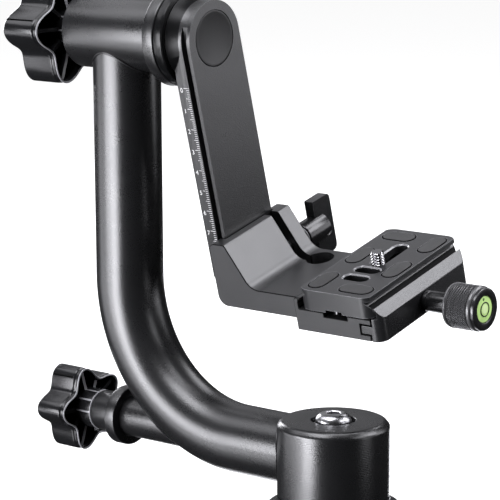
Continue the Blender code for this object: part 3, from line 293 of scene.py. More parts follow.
def circle(radius, sides, a=0, b=0):
    """The points of a circle about (a, b)."""
    return [(a + radius * cos(2 * pi * k / sides), b + radius * sin(2 * pi * k / sides)) for k in range(sides)]


def oval(x, v, run, half, across=False):
    """A slot's outline with round ends, centred on (x, v), along the arm's width or across it."""
    outline, steps = [], 14
    for end, start in ((run / 2, 0), (-run / 2, pi)):
        for k in range(steps + 1):
            a, b = half * cos(start + pi * k / steps), end + half * sin(start + pi * k / steps)
            outline.append((x - b, v + a) if across else (x + a, v + b))
    return outline


print("outlines: rounded, circle, oval")

# %% [markdown]
# ## Workshop: bodies
# One function makes faces between rows of points. The others only say where the rows are.

# %% Workshop: bodies
def skin(rows, bm=None, closed=False):
    """Faces between rows of points, with flat ends or with the last row joined to the first."""
    bm = bm or bmesh.new()
    made = [[bm.verts.new(p) for p in row] for row in rows]
    for first, second in list(zip(made, made[1:])) + ([(made[-1], made[0])] if closed else []):
        for k in range(max(len(first), len(second))):
            corners = [first[k % len(first)], first[(k + 1) % len(first)], second[(k + 1) % len(second)],
                       second[k % len(second)]]
            bm.faces.new(list(dict.fromkeys(corners)))
    for row in [] if closed else [made[0], made[-1]]:
        if len(row) > 1:
            bm.faces.new(row)
    return bm


def turned(profile, sides=96, axis="X", centre=(0, 0, 0), ring=False):
    """A body turned about an axis from (along, radius) points."""
    rows = [[(a, y, z) for y, z in circle(r, sides)] if r > 0 else [(a, 0, 0)] for a, r in profile]
    bm = skin(rows, closed=ring)
    spin = {"X": Matrix.Identity(4), "Y": Matrix.Rotation(pi / 2, 4, "Z"), "Z": Matrix.Rotation(-pi / 2, 4, "Y")}
    bm.transform(Matrix.Translation(centre) @ spin[axis])
    return bm


def rod(start, end, radius, sides, axis="X", centre=(0, 0, 0)):
    """A plain round bar."""
    return turned([(start, 0), (start, radius), (end, radius), (end, 0)], sides, axis, centre)


def tube(start, end, outer, inner, edge=0.4, sides=96, axis="X", centre=(0, 0, 0)):
    """A ring with rounded outer edges."""
    profile = rounded([(start, inner), (start, outer, edge), (end, outer, edge), (end, inner)], 3)
    return turned(profile, sides, axis, centre, ring=True)


def drawn(outline, low, high, along="Y", bm=None):
    """An outline drawn out along one axis: (x, z) along Y, (x, y) along Z or (y, z) along X."""
    place = {"X": lambda a, b, h: (h, a, b), "Y": lambda a, b, h: (a, h, b), "Z": lambda a, b, h: (a, b, h)}[along]
    return skin([[place(a, b, h) for a, b in outline] for h in (low, high)], bm)


def block(low, high, bm=None):
    """A box between two corners."""
    (x0, y0, z0), (x1, y1, z1) = low, high
    return drawn([(x0, y0), (x1, y0), (x1, y1), (x0, y1)], z0, z1, "Z", bm)


def twin_blocks(xs, out, zs):
    """Two boxes, one on each side of the arm's middle, as far out as the pair out says."""
    bm = bmesh.new()
    for side in (-1, 1):
        near, far = sorted((side * out[0], side * out[1]))
        block((xs[0], near, zs[0]), (xs[1], far, zs[1]), bm)
    return bm


print("bodies: skin, turned, rod, tube, drawn, block, twin_blocks")

# %% [markdown]
# ## Workshop: cutting and finishing
# Holes are cut and bodies joined with exact Booleans. A narrow bevel follows, because no real edge is
# perfectly sharp, and it is that bevel that catches the light. A turned piece has its rounded edges in the
# profile already. Some pieces show a second finish on chosen faces or on all their bevels.

# %% Workshop: cutting and finishing
def thing(name, bm):
    """A new object in the scene from a bmesh."""
    mesh = bpy.data.meshes.new(name)
    bmesh.ops.recalc_face_normals(bm, faces=bm.faces)
    bm.to_mesh(mesh)
    bm.free()
    made = bpy.data.objects.new(name, mesh)
    bpy.context.scene.collection.objects.link(made)
    return made


def carve(bm, *tools):
    """Cuts tools from a body. A pair such as ("UNION", bmesh) names another way to combine them."""
    body, extra = thing("blank", bm), []
    for tool in tools:
        how, shape = tool if isinstance(tool, tuple) else ("DIFFERENCE", tool)
        extra.append(thing("tool", shape))
        step = body.modifiers.new("cut", "BOOLEAN")
        step.operation, step.solver, step.object = how, "EXACT", extra[-1]
    result = bmesh.new()
    result.from_object(body, bpy.context.evaluated_depsgraph_get())
    for old in [body] + extra:
        bpy.data.objects.remove(old, do_unlink=True)
    return result


def piece(name, bm, material, body, stands_for=(), place=UPRIGHT, bevel=0.0, smooth=35, segments=2,
          others=(), edge_slot=-1, clamp=True):
    """Finishes a body: into place, metres, smooth shading, a narrow bevel, its materials and its ride."""
    bm.transform(Matrix.Scale(MM, 4) @ place)
    bmesh.ops.remove_doubles(bm, verts=bm.verts, dist=1e-6)
    if bevel:
        bmesh.ops.dissolve_limit(bm, angle_limit=radians(0.5), verts=bm.verts, edges=bm.edges, delimit={"MATERIAL"})
    made = thing(name, bm)
    mesh = made.data
    mesh.shade_smooth()
    if bevel:
        edges = made.modifiers.new("edges", "BEVEL")
        edges.width, edges.segments, edges.limit_method = bevel * MM, segments, "ANGLE"
        edges.angle_limit, edges.harden_normals, edges.use_clamp_overlap = radians(30), True, clamp
        edges.material = edge_slot
    else:
        mesh.set_sharp_from_angle(angle=radians(smooth))
    for coat in (material, *others):
        mesh.materials.append(coat)
    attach(made, body)
    if stands_for:
        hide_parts(*([stands_for] if isinstance(stands_for, str) else stands_for))
    print(f"{name}: {len(mesh.polygons)} faces, rides on {body}")


print("tools: carve, piece")

# %% [markdown]
# ## The base
# The foot is a turned disc with a neck, and a spindle that the housing turns on. A profile spun about the
# pan axis gives all of it, with each rim rounded in the profile itself. Small hollows round the disc give
# the fingers a grip. The brass bush takes the tripod's screw, and its profile has the thread's teeth.

# %% Base foot and tripod bush
FOOT_R, DRUM_R, SPINDLE_R, SCREW_HOLE = 29.95, 25.25, 12.0, 4.3
DISC_TOP, NECK_TOP, HOLE_FLOOR, SPINDLE_TOP = 9.0, 13.2, 24.05, 40.05
foot = rounded([(8.7, 0), (8.7, 8.3), (0, 8.3, 0.5), (0, FOOT_R, 1.2), (DISC_TOP, FOOT_R, 1.2),
                (DISC_TOP, DRUM_R, 0.4), (NECK_TOP, DRUM_R, 0.4), (NECK_TOP, SPINDLE_R, 0.4),
                (SPINDLE_TOP, SPINDLE_R, 0.5), (SPINDLE_TOP, SCREW_HOLE), (HOLE_FLOOR, SCREW_HOLE),
                (HOLE_FLOOR, 0)])
GRIPS, GRIP_R, GRIP_SIDES = 72, 30.1, 8
grips = bmesh.new()
for k in range(GRIPS):
    turn = Matrix.Rotation(2 * pi * k / GRIPS, 4, "Z")
    skin([[turn @ Vector((GRIP_R + 0.55 * a, 0.75 * b, z)) for a, b in circle(1, GRIP_SIDES)] for z in (2.2, 6.8)],
         grips)
piece("foot_disc", carve(turned(foot, 144, "Z"), grips), black_coat, "tripod_base", "base_foot")
BUSH_TOP, CREST, ROOT, COARSE = 8.4, 4.75, 5.2, 0.7
bush = [(0, 4.9), (0, 7.6), (0.4, 8.0), (BUSH_TOP, 8.0), (BUSH_TOP, CREST)]
for k in range(11, 0, -1):
    bush += [(COARSE * k + 0.2, CREST), (COARSE * k - 0.15, ROOT)]
brass = finish("turned brass", (0.62, 0.43, 0.18), 0.27, metal=1.0, depth=0.000008, speckle=0.12, wear=0.3,
               edge=(0.85, 0.65, 0.32), marks_by=0.08)
piece("tripod_thread", turned(bush, 64, "Z", ring=True), brass, "tripod_base", "tripod_bush")

# %% [markdown]
# ## The pan housing
# This drum turns on the base. Two soft corners with a short slope between them make its round top rim, which
# catches a line of light. A recess holds the big button-head screw that keeps the drum on. The recess and the
# hollow are part of one profile. Its coat shows faint turning lines.

# %% Pan housing
DRUM_BORE, DRUM_FOOT, DRUM_CEILING, RECESS_R, RECESS_FLOOR = 12.3, 13.5, 40.35, 10, 44.35
drum = rounded([(DRUM_FOOT, DRUM_BORE), (DRUM_FOOT, DRUM_R, 0.8), (PAN_TOP - 2.5, DRUM_R, 2.7),
                (PAN_TOP, 23.2, 2.7), (PAN_TOP, RECESS_R, 0.35), (RECESS_FLOOR, RECESS_R, 0.3),
                (RECESS_FLOOR, SCREW_HOLE), (DRUM_CEILING, SCREW_HOLE), (DRUM_CEILING, DRUM_BORE)], 6)
drum_coat = finish("pan housing coat", (0.006, 0.0061, 0.0065), 0.24, grains=1700, depth=0.00004, lines=1300)
piece("pan_drum", carve(turned(drum, 160, "Z", ring=True), rod(-30, 0, 4.9, 32, "X", (0, 0, ROD_Z))), drum_coat,
      "yoke", "pan_housing")

# %% [markdown]
# ## The button-head screw
# A bright steel dome with a hexagon socket. The dome is a quarter of an ellipse turned about the axis, in
# many fine steps, because coarse ones would show as facets. The socket is cut with a six-sided prism that
# has a slightly chamfered mouth.

# %% Pan screw
WASHER, DOME_FLAT, DOME_STEPS = 1.0, 4.3, 36
under = RECESS_FLOOR + CLEARANCE + WASHER + CLEARANCE
top = under + 5
dome = [(under + 1.0 + 4.0 * sin(k * pi / 2 / DOME_STEPS), DOME_FLAT + 3.8 * cos(k * pi / 2 / DOME_STEPS))
        for k in range(DOME_STEPS + 1)]
screw = [(24.35, 0), (24.35, 4.0), (under, 4.0), (under, 7.9), (under + 0.2, 8.1)] + dome + [(top, 0)]
hexagon = [(cos(pi * k / 3 + 0.3), sin(pi * k / 3 + 0.3)) for k in range(6)]
socket = drawn([(3.3 * a, 3.3 * b) for a, b in hexagon], top - 2.6, top + 4, "Z")
mouth = skin([[(r * a, r * b, z) for a, b in hexagon] for r, z in ((3.2, top - 0.35), (4.0, top + 0.45))])
mirror_steel = finish("mirror steel", (0.38, 0.38, 0.39), 0.24, metal=1.0, grains=900, depth=0.0000002,
                      speckle=0.04, wear=0.0, marks_by=0.02)
piece("button_screw", carve(turned(screw, 96, "Z"), socket, mouth), mirror_steel, "tripod_base", "pan_screw")

# %% [markdown]
# ## The J-shaped arm
# A thick round bar, bent through a quarter turn. Its centre line is straight, then an arc, then straight, so
# rings of points placed along that line make it. Each end is shaped to the round body that it meets:
# the top ring follows the cross tube, the other one the drum. A thin bead hides each seam, as a weld
# ground smooth would.

# %% J-shaped arm
TUBE_R, REACH, BEND, CROSS_R = 15.83, 121.45, 69.0, 17.7
MEETS_CROSS, MEETS_DRUM = CROSS_R + CLEARANCE, DRUM_R + CLEARANCE


def j_rings(radius, sides, steps):
    """Rings of points along the J, from the cross tube down and round to the drum."""
    angles = [2 * pi * (k + 0.5) / sides for k in range(sides)]
    rings = [[(-REACH + radius * cos(a), radius * sin(a), TILT_Z - sqrt(MEETS_CROSS ** 2 - (radius * sin(a)) ** 2))
              for a in angles]]
    for k in range(steps + 1):
        bend = pi / 2 * k / steps
        rings.append([(-REACH + BEND - (BEND - radius * cos(a)) * cos(bend), radius * sin(a),
                       ROD_Z + BEND - (BEND - radius * cos(a)) * sin(bend)) for a in angles])
    rings.append([(-sqrt(MEETS_DRUM ** 2 - (radius * sin(a)) ** 2), radius * sin(a), ROD_Z + radius * cos(a))
                  for a in angles])
    return rings


def bead(points, thick, sides=8):
    """A thin closed bead along a ring of points."""
    ring, rows = [Vector(p) for p in points], []
    centre = sum(ring, Vector()) / len(ring)
    for k, here in enumerate(ring):
        along = (ring[(k + 1) % len(ring)] - ring[k - 1]).normalized()
        out = here - centre
        out = (out - along * out.dot(along)).normalized()
        side = along.cross(out)
        rows.append([here + out * a + side * b for a, b in circle(thick, sides)])
    return skin(rows, closed=True)


j_rows = j_rings(TUBE_R, 96, 44)
piece("j_bar", carve(skin(j_rows), rod(-150, 0, 3.8, 32, "X", (0, 0, ROD_Z))), black_coat, "yoke", "j_tube")
for name, ring in (("top_bead", j_rows[0]), ("drum_bead", j_rows[-1])):
    piece(name, bead(ring, 0.55), black_coat, "yoke", smooth=60)

# %% [markdown]
# ## The cross tube and its collar
# The tilt shaft turns in this tube. Each end is bored wider for a bearing. Its collar faces the swing arm's
# flange with a dark gap between them.

# %% Cross tube and collar
HUB_END, HUB_START, BEARING_SEAT, SEAT_R, SHAFT_BORE = -85.0, -146.6, 9.3, 12.8, 9
cross = rounded([(HUB_START, SEAT_R), (HUB_START, CROSS_R, 1.0), (HUB_END, CROSS_R, 0.2), (HUB_END, SEAT_R),
                 (HUB_END - BEARING_SEAT, SEAT_R), (HUB_END - BEARING_SEAT, SHAFT_BORE),
                 (HUB_START + BEARING_SEAT, SHAFT_BORE), (HUB_START + BEARING_SEAT, SEAT_R)])
piece("cross_tube", turned(cross, 128, ring=True), black_coat, "yoke", "tilt_housing", CROSS)
piece("cross_collar", tube(HUB_END - 6.4, HUB_END, 23.0, 18.0, 0.6, 128), black_coat, "yoke", "tilt_collar", CROSS)

# %% [markdown]
# ## Behind the bend
# The pan lock's rod comes out of the bend through a boss with a ring on it. The boss is cut to the bend's
# round back with the bend itself, a little fattened, as the cutter.

# %% Pan lock boss
BOSS_R, BOSS_BORE, BOSS_START, BOSS_END = 9.6, 3.8, -140, -80
boss = turned(rounded([(BOSS_START, BOSS_BORE), (BOSS_START, BOSS_R, 0.6), (BOSS_END, BOSS_R),
                       (BOSS_END, BOSS_BORE)]), 72, "X", (0, 0, ROD_Z), ring=True)
piece("lock_boss", carve(boss, skin(j_rings(TUBE_R + CLEARANCE, 64, 30))), black_coat, "yoke", "pan_lock_boss")
piece("lock_boss_ring", tube(-127, -121, 14, BOSS_R + CLEARANCE, 0.6, 96, centre=(0, 0, ROD_Z)), black_coat, "yoke",
      "pan_lock_ring")

# %% [markdown]
# ## Star knobs
# Both lock knobs are moulded stars with five rounded lobes, hollow behind. The outline is a circle whose
# radius swells five times a turn. Outlines stacked along the axis give the domed back, the straight grip and
# the narrower rolled rim. The hollow is cut, the ribs and the core are joined, and the core is bored for the
# nut and the thread. One lobe has a narrow slit on its flank, left by the mould, and its faces are painted near
# black as shade. The rim and the ends of the upright ribs are painted lighter, a painted highlight where they catch
# the light.

# %% Star knobs
BACK_R, ROLL_R, RIB_HALF, CORE_R, NUT_BORE, NUT_DEPTH, THREAD_DEPTH = 1.8, 0.45, 0.8, 9.6, 7.9, 9.3, 13.2
SLIT_HALF, SLIT_DEPTH = 0.4, 1.4
knob_plastic = finish("moulded black plastic", (0.006, 0.0061, 0.0066), 0.16, grains=2400, depth=0.00002,
                      wear=0.35, Specular_IOR_Level=0.33)
rim_painted_highlight = finish("knob rim painted highlight", (0.16, 0.16, 0.168), 0.3, grains=2400, depth=0.00002, wear=0.6,
                     marks_by=0.04)


def star(mean, lobe, turn, offset, points=200):
    """A star's outline: a circle that swells five times a turn."""
    outline = []
    for k in range(points):
        a = 2 * pi * k / points
        r = mean + offset + lobe * cos(5 * (a - turn))
        outline.append((r * cos(a), r * sin(a)))
    return outline


def rib_outline(mean, lobe, turn):
    """Ten ribs from the middle, one to each lobe and one to each hollow between lobes."""
    ribs = []
    for k in range(10):
        angle = turn + pi * k / 5
        reach = mean + (lobe if k % 2 == 0 else -lobe) - 0.85
        for side in (-RIB_HALF, RIB_HALF):
            ribs.append((reach * cos(angle) - side * sin(angle), reach * sin(angle) + side * cos(angle)))
        crotch = RIB_HALF / sin(pi / 10)
        ribs.append((crotch * cos(angle + pi / 10), crotch * sin(angle + pi / 10)))
    return ribs


def star_knob(name, body, stands_for, place, rim, length, mean, lobe, degrees, face, thread, slit):
    """A knob whose open rim looks along X. The slit is (which lobe, how many degrees from its crest)."""
    turn, back = radians(degrees), rim - length
    floor, shoulder, rib_end = back + 3.0, rim - 3.0, rim - 2.2

    def stack(profile):
        return skin([[(x, y, z) for y, z in star(mean, lobe, turn, offset)] for x, offset in profile])

    quarter = [k * pi / 14 for k in range(8)]
    outside = [(back + BACK_R * (1 - cos(a)), 0.5 - BACK_R * (1 - sin(a))) for a in quarter]
    outside += [(shoulder - 1.1, 0.5), (shoulder - 0.6, 0.43), (shoulder - 0.25, 0.26), (shoulder, 0),
                (shoulder + 0.25, -0.2), (rim - 1.3, -0.25)]
    outside += [(rim - ROLL_R + ROLL_R * sin(radians(a)), -0.05 + ROLL_R * cos(radians(a)))
                for a in range(-75, 76, 15)]
    hollow = [(floor, -1.9), (floor + 0.5, -1.45), (rim - 1.6, -1.3), (rim - 0.7, -0.58), (rim - 0.35, -0.5),
              (rim - 0.1, -0.35), (rim + 0.02, -0.15), (rim + 4, -0.15)]
    ribs = drawn(rib_outline(mean, lobe, turn), floor - 1.5, rib_end, "X")
    core = turned(rounded([(floor - 1.5, 0), (floor - 1.5, CORE_R), (face, CORE_R, 0.5), (face, 0)]), 72)
    spin = Matrix.Rotation(turn + 2 * pi * slit[0] / 5 + radians(slit[1]), 4, "X")
    r = mean + 0.5 + lobe * cos(5 * radians(slit[1]))
    corners = [(-SLIT_HALF, r - SLIT_DEPTH), (SLIT_HALF, r - SLIT_DEPTH), (SLIT_HALF, r + 2), (-SLIT_HALF, r + 2)]
    mould_slit = skin([[spin @ Vector((x, out, aside)) for aside, out in corners]
                       for x in (back + 1.2, shoulder - 1.2)])
    made = carve(stack(outside + [(rim, -0.1)]), stack(hollow), ("UNION", ribs), ("UNION", core),
                 rod(face - NUT_DEPTH, face + 4, NUT_BORE, 48),
                 rod(face - THREAD_DEPTH, face + 4, thread + CLEARANCE, 32), mould_slit)
    unspin = spin.inverted()
    # The slit's faces get painted shade, and the rim and the upright rib ends a painted highlight.
    for facet in made.faces:
        middle = facet.calc_center_median()
        inside = unspin @ middle
        upright = abs(middle.z) > 0.8 * middle.yz.length
        if abs(inside.z) < SLIT_HALF + 0.01 and r - 1.5 < inside.y < r + 0.4 and middle.x < shoulder - 1.1:
            facet.material_index = 2
        elif middle.x > rim - 0.75 or (abs(middle.x - rib_end) < 0.05 and facet.normal.x > 0.9 and upright):
            facet.material_index = 1
    piece(name, made, knob_plastic, body, stands_for, place, smooth=32,
          others=[rim_painted_highlight, painted_shade_black])


star_knob("tilt_star", "tilt_lock", "tilt_lock_knob", SWING, -153.7, 22.5, 22.5, 3.8, 36.3 - LEAN, -148.7, 5.0,
          (2, -11.5))
star_knob("pan_star", "pan_lock", "pan_lock_knob", PAN_LOCK, -146.8, 18.5, 17.3, 3.0, 34.8, -140.3, 3.5, (1, 14))

# %% [markdown]
# ## The swing arm
# A flat bar with a round head, a cone behind the head and a groove along each edge that the bracket rides
# in. The head's seat for the disc is cut in steps. The cone and the bar are joined before the cuts. The
# cone is painted darker than the bar, painted shade on the same coat.

# %% Swing arm
HALF, FRONT, REAR, ARM_END = 17.34, -67.66, -79.3, -114
head = [(HALF * cos(pi * k / 48), HALF * sin(pi * k / 48)) for k in range(49)]
tail = rounded([(-HALF, ARM_END, 3.0), (HALF, ARM_END, 3.0), (HALF, 0), (-HALF, 0)], 8)
bar = drawn(head + [p for p in tail if p[1] < 0], REAR, FRONT, "X")
cone = turned([(-79.6, 0), (-79.6, 20.2), (-73.8, 17.04), (-73.8, 0)], 96)
seat = turned([(-84, 0), (-84, 9.3), (-76.6, 9.3), (-76.6, 4.3), (-73.96, 4.3), (-73.96, 6.8), (-69.16, 6.8),
               (-69.16, 13.02), (-64, 13.02), (-64, 0)], 96)
cut_bar = carve(bar, ("UNION", cone), seat, twin_blocks((-72.6, -69.4), (14.34, 22), (-118, HALF)))
# The cone's faces take a darker copy of the coat: painted shade.
for facet in cut_bar.faces:
    if 0.3 < facet.normal.x < 0.7 and -80 < facet.calc_center_median().x < -73.5:
        facet.material_index = 1
arm_coat = finish("swing arm coat", (0.007, 0.0071, 0.0075), 0.25, grains=2000, depth=0.0001, speckle=0.5, wear=0.8)
cone_painted_shade = finish("cone painted shade", (0.0025, 0.0026, 0.0028), 0.27, grains=1700, depth=0.00002, wear=0.2,
                   marks_by=0.02, Specular_IOR_Level=0.1)
piece("swing_bar", cut_bar, arm_coat, "swing", "swing_arm", SWING, bevel=0.35, others=[cone_painted_shade])

# %% [markdown]
# ## The tilt shaft and the disc
# The shaft passes through the cross tube, and its flange faces the collar. The disc closes the head's seat
# and covers the screw under it. It is matter than the coat round it, with a thin raised edge.

# %% Tilt shaft and disc
SHAFT_END, SHAFT_R, THREAD_R, FLANGE_R, FLANGE_REAR, FLANGE_FRONT = -161.1, 8, 5, 22.8, -84.7, -79.9
shaft = rounded([(SHAFT_END, 0), (SHAFT_END, THREAD_R, 0.5), (HUB_START, THREAD_R), (HUB_START, SHAFT_R, 0.3),
                 (FLANGE_REAR, SHAFT_R), (FLANGE_REAR, FLANGE_R, 0.6), (FLANGE_FRONT, FLANGE_R, 0.6),
                 (FLANGE_FRONT, 9), (-76.9, 9, 0.4), (-76.9, 4.3), (-96.9, 4.3), (-96.9, 0)])
flange_coat = finish("flange black", (0.003, 0.0031, 0.0033), 0.17, grains=1700, depth=0.00002, wear=0.3,
                     Specular_IOR_Level=0.17)
piece("shaft_flange", turned(shaft, 128), flange_coat, "swing", "tilt_shaft", SWING)
disc = rounded([(-68.86, 0), (-68.86, 12.72), (FRONT, 12.72, 0.35), (FRONT, 11.6), (FRONT - 0.06, 11.5),
                (FRONT - 0.06, 0)], 3)
disc_film = finish("matte disc", (0.0045, 0.0045, 0.0047), 0.6, grains=2200, depth=0.00002, speckle=0.1,
                   edge=(0.09, 0.09, 0.094))
piece("head_disc", turned(disc, 96), disc_film, "swing", "cap_disc", SWING)

# %% [markdown]
# ## The scale on the arm
# A millimetre scale is printed on the arm's edge behind the groove, with a number each centimetre. It tells
# the height that balances a lens. The ticks are thin strips a hair above the coat, and the digits come
# from Blender's own plain font, turned into mesh.

# %% Printed scale
SCALE_ZERO, SCALE_MARKS, SCALE_END, TICK_EDGE, DIGIT_X, DIGIT_HIGH = -18.26, 86, -108, -73.0, -77.4, 3.1


def scale_print():
    """The ticks and the digits of the scale, on the arm's near edge."""
    bm = bmesh.new()
    face = -HALF - 0.03
    for k in range(SCALE_MARKS):
        w = SCALE_ZERO - k
        long = 3.0 if k % 10 == 0 else (2.4 if k % 5 == 0 else 1.5)
        if w > SCALE_END:
            block((TICK_EDGE - long, face, w - 0.09), (TICK_EDGE, face + 0.02, w + 0.09), bm)
    for digit in range(8):
        text = bpy.data.curves.new("digit", "FONT")
        text.body, text.size, text.extrude = str(digit), DIGIT_HIGH, 0.01
        text.align_x, text.align_y, text.resolution_u = "CENTER", "CENTER", 4
        shown = bpy.data.objects.new("digit", text)
        bpy.context.scene.collection.objects.link(shown)
        bpy.context.view_layer.update()
        mesh = bpy.data.meshes.new_from_object(shown.evaluated_get(bpy.context.evaluated_depsgraph_get()))
        at = Matrix.Translation((DIGIT_X, face + 0.01, SCALE_ZERO - 10 * digit - 1.2))
        mesh.transform(at @ Matrix.Rotation(pi / 2, 4, "X"))
        bm.from_mesh(mesh)
        bpy.data.objects.remove(shown, do_unlink=True)
    return bm


print_white = finish("white print", (0.5, 0.5, 0.5), 0.5, grains=5200, depth=0.00001, speckle=0.15, wear=0.0,
                     marks_by=0.08)
piece("printed_scale", scale_print(), print_white, "swing", (), SWING)

# %% [markdown]
# ## The L bracket and the clamp's bed
# One milled piece. Its upright part wraps round the arm and has a slit that the T handle closes on it. Its
# level part is the bed of the clamp, with the fixed jaw on the arm's side. The side view is drawn out to
# the full width, the bed is joined on, and then the channel, the slit, its relief hole and the pockets are
# milled out. All its bevels take the painted shade finish, so its edges show as near black painted lines.

# %% L bracket
TOP, BOTTOM, SEAT, BED = -91.0, -122.1, -111.5, -122.4
PLATE_X, STOP_X, LIP_Z, CREST_Z = 5.1, 4.1, -106.9, -106.5
BRACKET_HALF, BED_HALF, CUT_LOW, CUT_HIGH = 24.7, 34.1, -127, -87
LOCK_X, LOCK_Z, LOCK_BORE, SCREW_Z, SCREW_BORE = -60.3, -108.1, 3.2, -116.8, 2.7
PIN_Z, PIN_OUT, PIN_BORE = -117.1, 24, 2.05
SLIT_END, RELIEF_R, RELIEF_OUT = -41.2, 6.3, 15
side_view = rounded([(-72.0, BOTTOM, 5), (-72.0, TOP, 3), (-62.96, TOP, 1.5), (-51.36, SEAT, 8), (-17.3, SEAT),
                     (-17.3, BOTTOM)], 8)
lip_x = PLATE_X - 19.4
bed_view = [(PLATE_X - 23.6, BED), (PLATE_X - 23.6, CREST_Z - 1.2), (PLATE_X - 22.4, CREST_Z), (lip_x, CREST_Z),
            (lip_x, LIP_Z), (lip_x - 1.8, LIP_Z - 1.8), (lip_x - 1.8, SEAT), (23.3, SEAT), (23.3, -114.65),
            (17.15, -114.65), (17.15, -119.55), (22.3, -119.55), (22.3, BED)]
channel = drawn([(-76, -14.64), (-69.7, -14.64), (-69.7, -17.64), (-67.36, -17.64), (-67.36, 17.64), (-69.7, 17.64),
                 (-69.7, 14.64), (-76, 14.64)], CUT_LOW, CUT_HIGH, "Z")


def pin_bores(start, end):
    """Two bores for the jaw's guide pins, cut from start to end."""
    bm = bmesh.new()
    for v in (-PIN_OUT, PIN_OUT):
        drawn(circle(PIN_BORE, 24, v, PIN_Z), start, end, "X", bm)
    return bm


milled = carve(drawn(side_view, -BRACKET_HALF, BRACKET_HALF), ("UNION", drawn(bed_view, -BED_HALF, BED_HALF)),
               channel, block((-67.66, 11.6, CUT_LOW), (SLIT_END, 16.0, CUT_HIGH)),
               rod(CUT_LOW, CUT_HIGH, RELIEF_R, 64, "Z", (SLIT_END, RELIEF_OUT, 0)),
               rod(-5.0, 29, LOCK_BORE, 36, "Y", (LOCK_X, 0, LOCK_Z)),
               twin_blocks((STOP_X - 6.4, STOP_X + 6.4), (8.3, 38.1), (SEAT - 2.4, SEAT + 4)),
               twin_blocks((PLATE_X - 20.9, 24.5), (33.5, 38.1), (SEAT - 0.4, SEAT + 4)),
               rod(3.4, 28, SCREW_BORE, 36, "X", (0, 0, SCREW_Z)), pin_bores(8.0, 21.3))
bracket_grey = finish("bracket anodised", (0.01, 0.0102, 0.0107), 0.27, wear=0.3, edge=(0.03, 0.03, 0.031))
# Every bevel is painted near black: painted shade along the edges.
piece("l_bracket", milled, bracket_grey, "carriage", "carriage_bracket", SWING, bevel=0.42,
      others=[painted_shade_black], edge_slot=1, clamp=False)

# %% [markdown]
# ## The T handle
# A small lever across the bracket's side closes the slit. It is a rounded bar on a round boss, coated a
# glossy black. A dull washer lies between the boss and the bracket.

# %% T handle
LOCK = SWING @ Matrix.Translation((LOCK_X, 0, LOCK_Z))
BAR_IN, BAR_OUT, BAR_HALF, BAR_THICK = 35.6, 48.6, 14.4, 5.0
boss = turned(rounded([(26.2, 0), (26.2, 6.4, 0.5), (42.1, 6.4, 0.3), (42.1, 0)]), 64, "Y")
bar_view = rounded([(BAR_IN, -BAR_HALF, 2.6), (BAR_OUT, -BAR_HALF, 3.0), (BAR_OUT, BAR_HALF, 2.6),
                    (BAR_IN, BAR_HALF, 0.6)], 6)
handle = carve(boss, ("UNION", drawn(bar_view, -BAR_THICK / 2, BAR_THICK / 2, "X")),
               rod(20, 35.9, LOCK_BORE, 36, "Y"))
handle_black = finish("lever black", (0.006, 0.0061, 0.0064), 0.17, grains=2200, depth=0.00002, wear=0.6,
                      edge=(0.06, 0.06, 0.063), Specular_IOR_Level=0.4)
piece("t_handle", handle, handle_black, "carriage_lock", "lock_handle", LOCK, bevel=0.5, segments=3)
washer_steel = finish("dull washer", (0.07, 0.07, 0.073), 0.35, metal=1.0, grains=3000, depth=0.000008, speckle=0.1,
                      wear=0.3, edge=(0.3, 0.3, 0.31))
piece("t_washer", tube(25.0, 25.9, 6.0, LOCK_BORE, 0.25, 64, "Y"), washer_steel, "lock_slider", "lock_washer", LOCK)

# %% [markdown]
# ## The moving jaw
# A bar with an undercut lip that grips the plate's dovetail. Its top slope is the brightest face in the
# photo. The section is drawn out along the clamp, and its two outer corners are rounded by crossing it with
# the rounded plan. The wall behind the lip stands back a little, so that the jaw clears the plate when the
# screw pulls it home.

# %% Moving jaw
JAW_IN, JAW_OUT = 13, 28.7
jaw_view = [(22.8, BED), (22.8, -119.0), (17.75, -119.0), (17.75, -115.2), (23.8, -115.2), (23.8, SEAT), (26.4, SEAT),
            (26.4, LIP_Z - 1.9), (25.2, LIP_Z - 0.7), (25.2, LIP_Z + 0.1), (25.7, CREST_Z), (JAW_OUT, CREST_Z - 5.0),
            (JAW_OUT, BED)]
plan = rounded([(JAW_IN, -BED_HALF), (JAW_OUT, -BED_HALF, 5), (JAW_OUT, BED_HALF, 5), (JAW_IN, BED_HALF)], 12)
jaw = carve(drawn(jaw_view, -BED_HALF, BED_HALF), ("INTERSECT", drawn(plan, CUT_LOW, -101, "Z")),
            rod(JAW_IN, 33, SCREW_BORE, 36, "X", (0, 0, SCREW_Z)), pin_bores(JAW_IN, 25.6))
satin_grey = finish("dark grey anodised", (0.011, 0.0112, 0.0118), 0.22, wear=0.3, edge=(0.03, 0.03, 0.031))
piece("jaw_bar", jaw, satin_grey, "jaw", "moving_jaw", SWING, bevel=0.2, clamp=False)

# %% [markdown]
# ## The clamp knob
# The knob's grip is knurled: two sets of fine grooves cross and leave small diamonds. Points on the cylinder
# rise and fall with two spiral waves, which is how a knurling wheel presses them, and the groove faces are
# painted near black as shade, darker than the crests. A smooth rim with a fine groove closes the knurl at each end,
# and the spirit level sits in the outer one. The screw's thick sleeve has a fine groove too.

# %% Clamp screw and knurled knob
CLAMP = SWING @ Matrix.Translation((0, 0, SCREW_Z))
SLEEVE, SLEEVE_END, NECK, NECK_END = 4.75, 43.6, 3.4, 51.6
stem = rounded([(3.7, 0), (3.7, 2.4, 0.4), (29.0, 2.4), (29.0, SLEEVE, 0.4), (31.0, SLEEVE, 0.3), (31.3, 4.4),
                (31.6, SLEEVE, 0.1), (SLEEVE_END, SLEEVE, 0.3), (SLEEVE_END, NECK), (NECK_END, NECK),
                (NECK_END, 0)], 3)
stem_coat = finish("stem black", (0.004, 0.0041, 0.0043), 0.22, grains=1700, Specular_IOR_Level=0.28)
piece("clamp_stem", turned(stem, 64), stem_coat, "knob_and_level", "clamp_screw", CLAMP)
KNOB_START, KNOB_END, KNOB_R, DIAMONDS, KNURL_ROWS, KNURL_DEPTH, LEVEL_R = 43.9, 58.5, 10.1, 68, 52, 0.6, 8.3


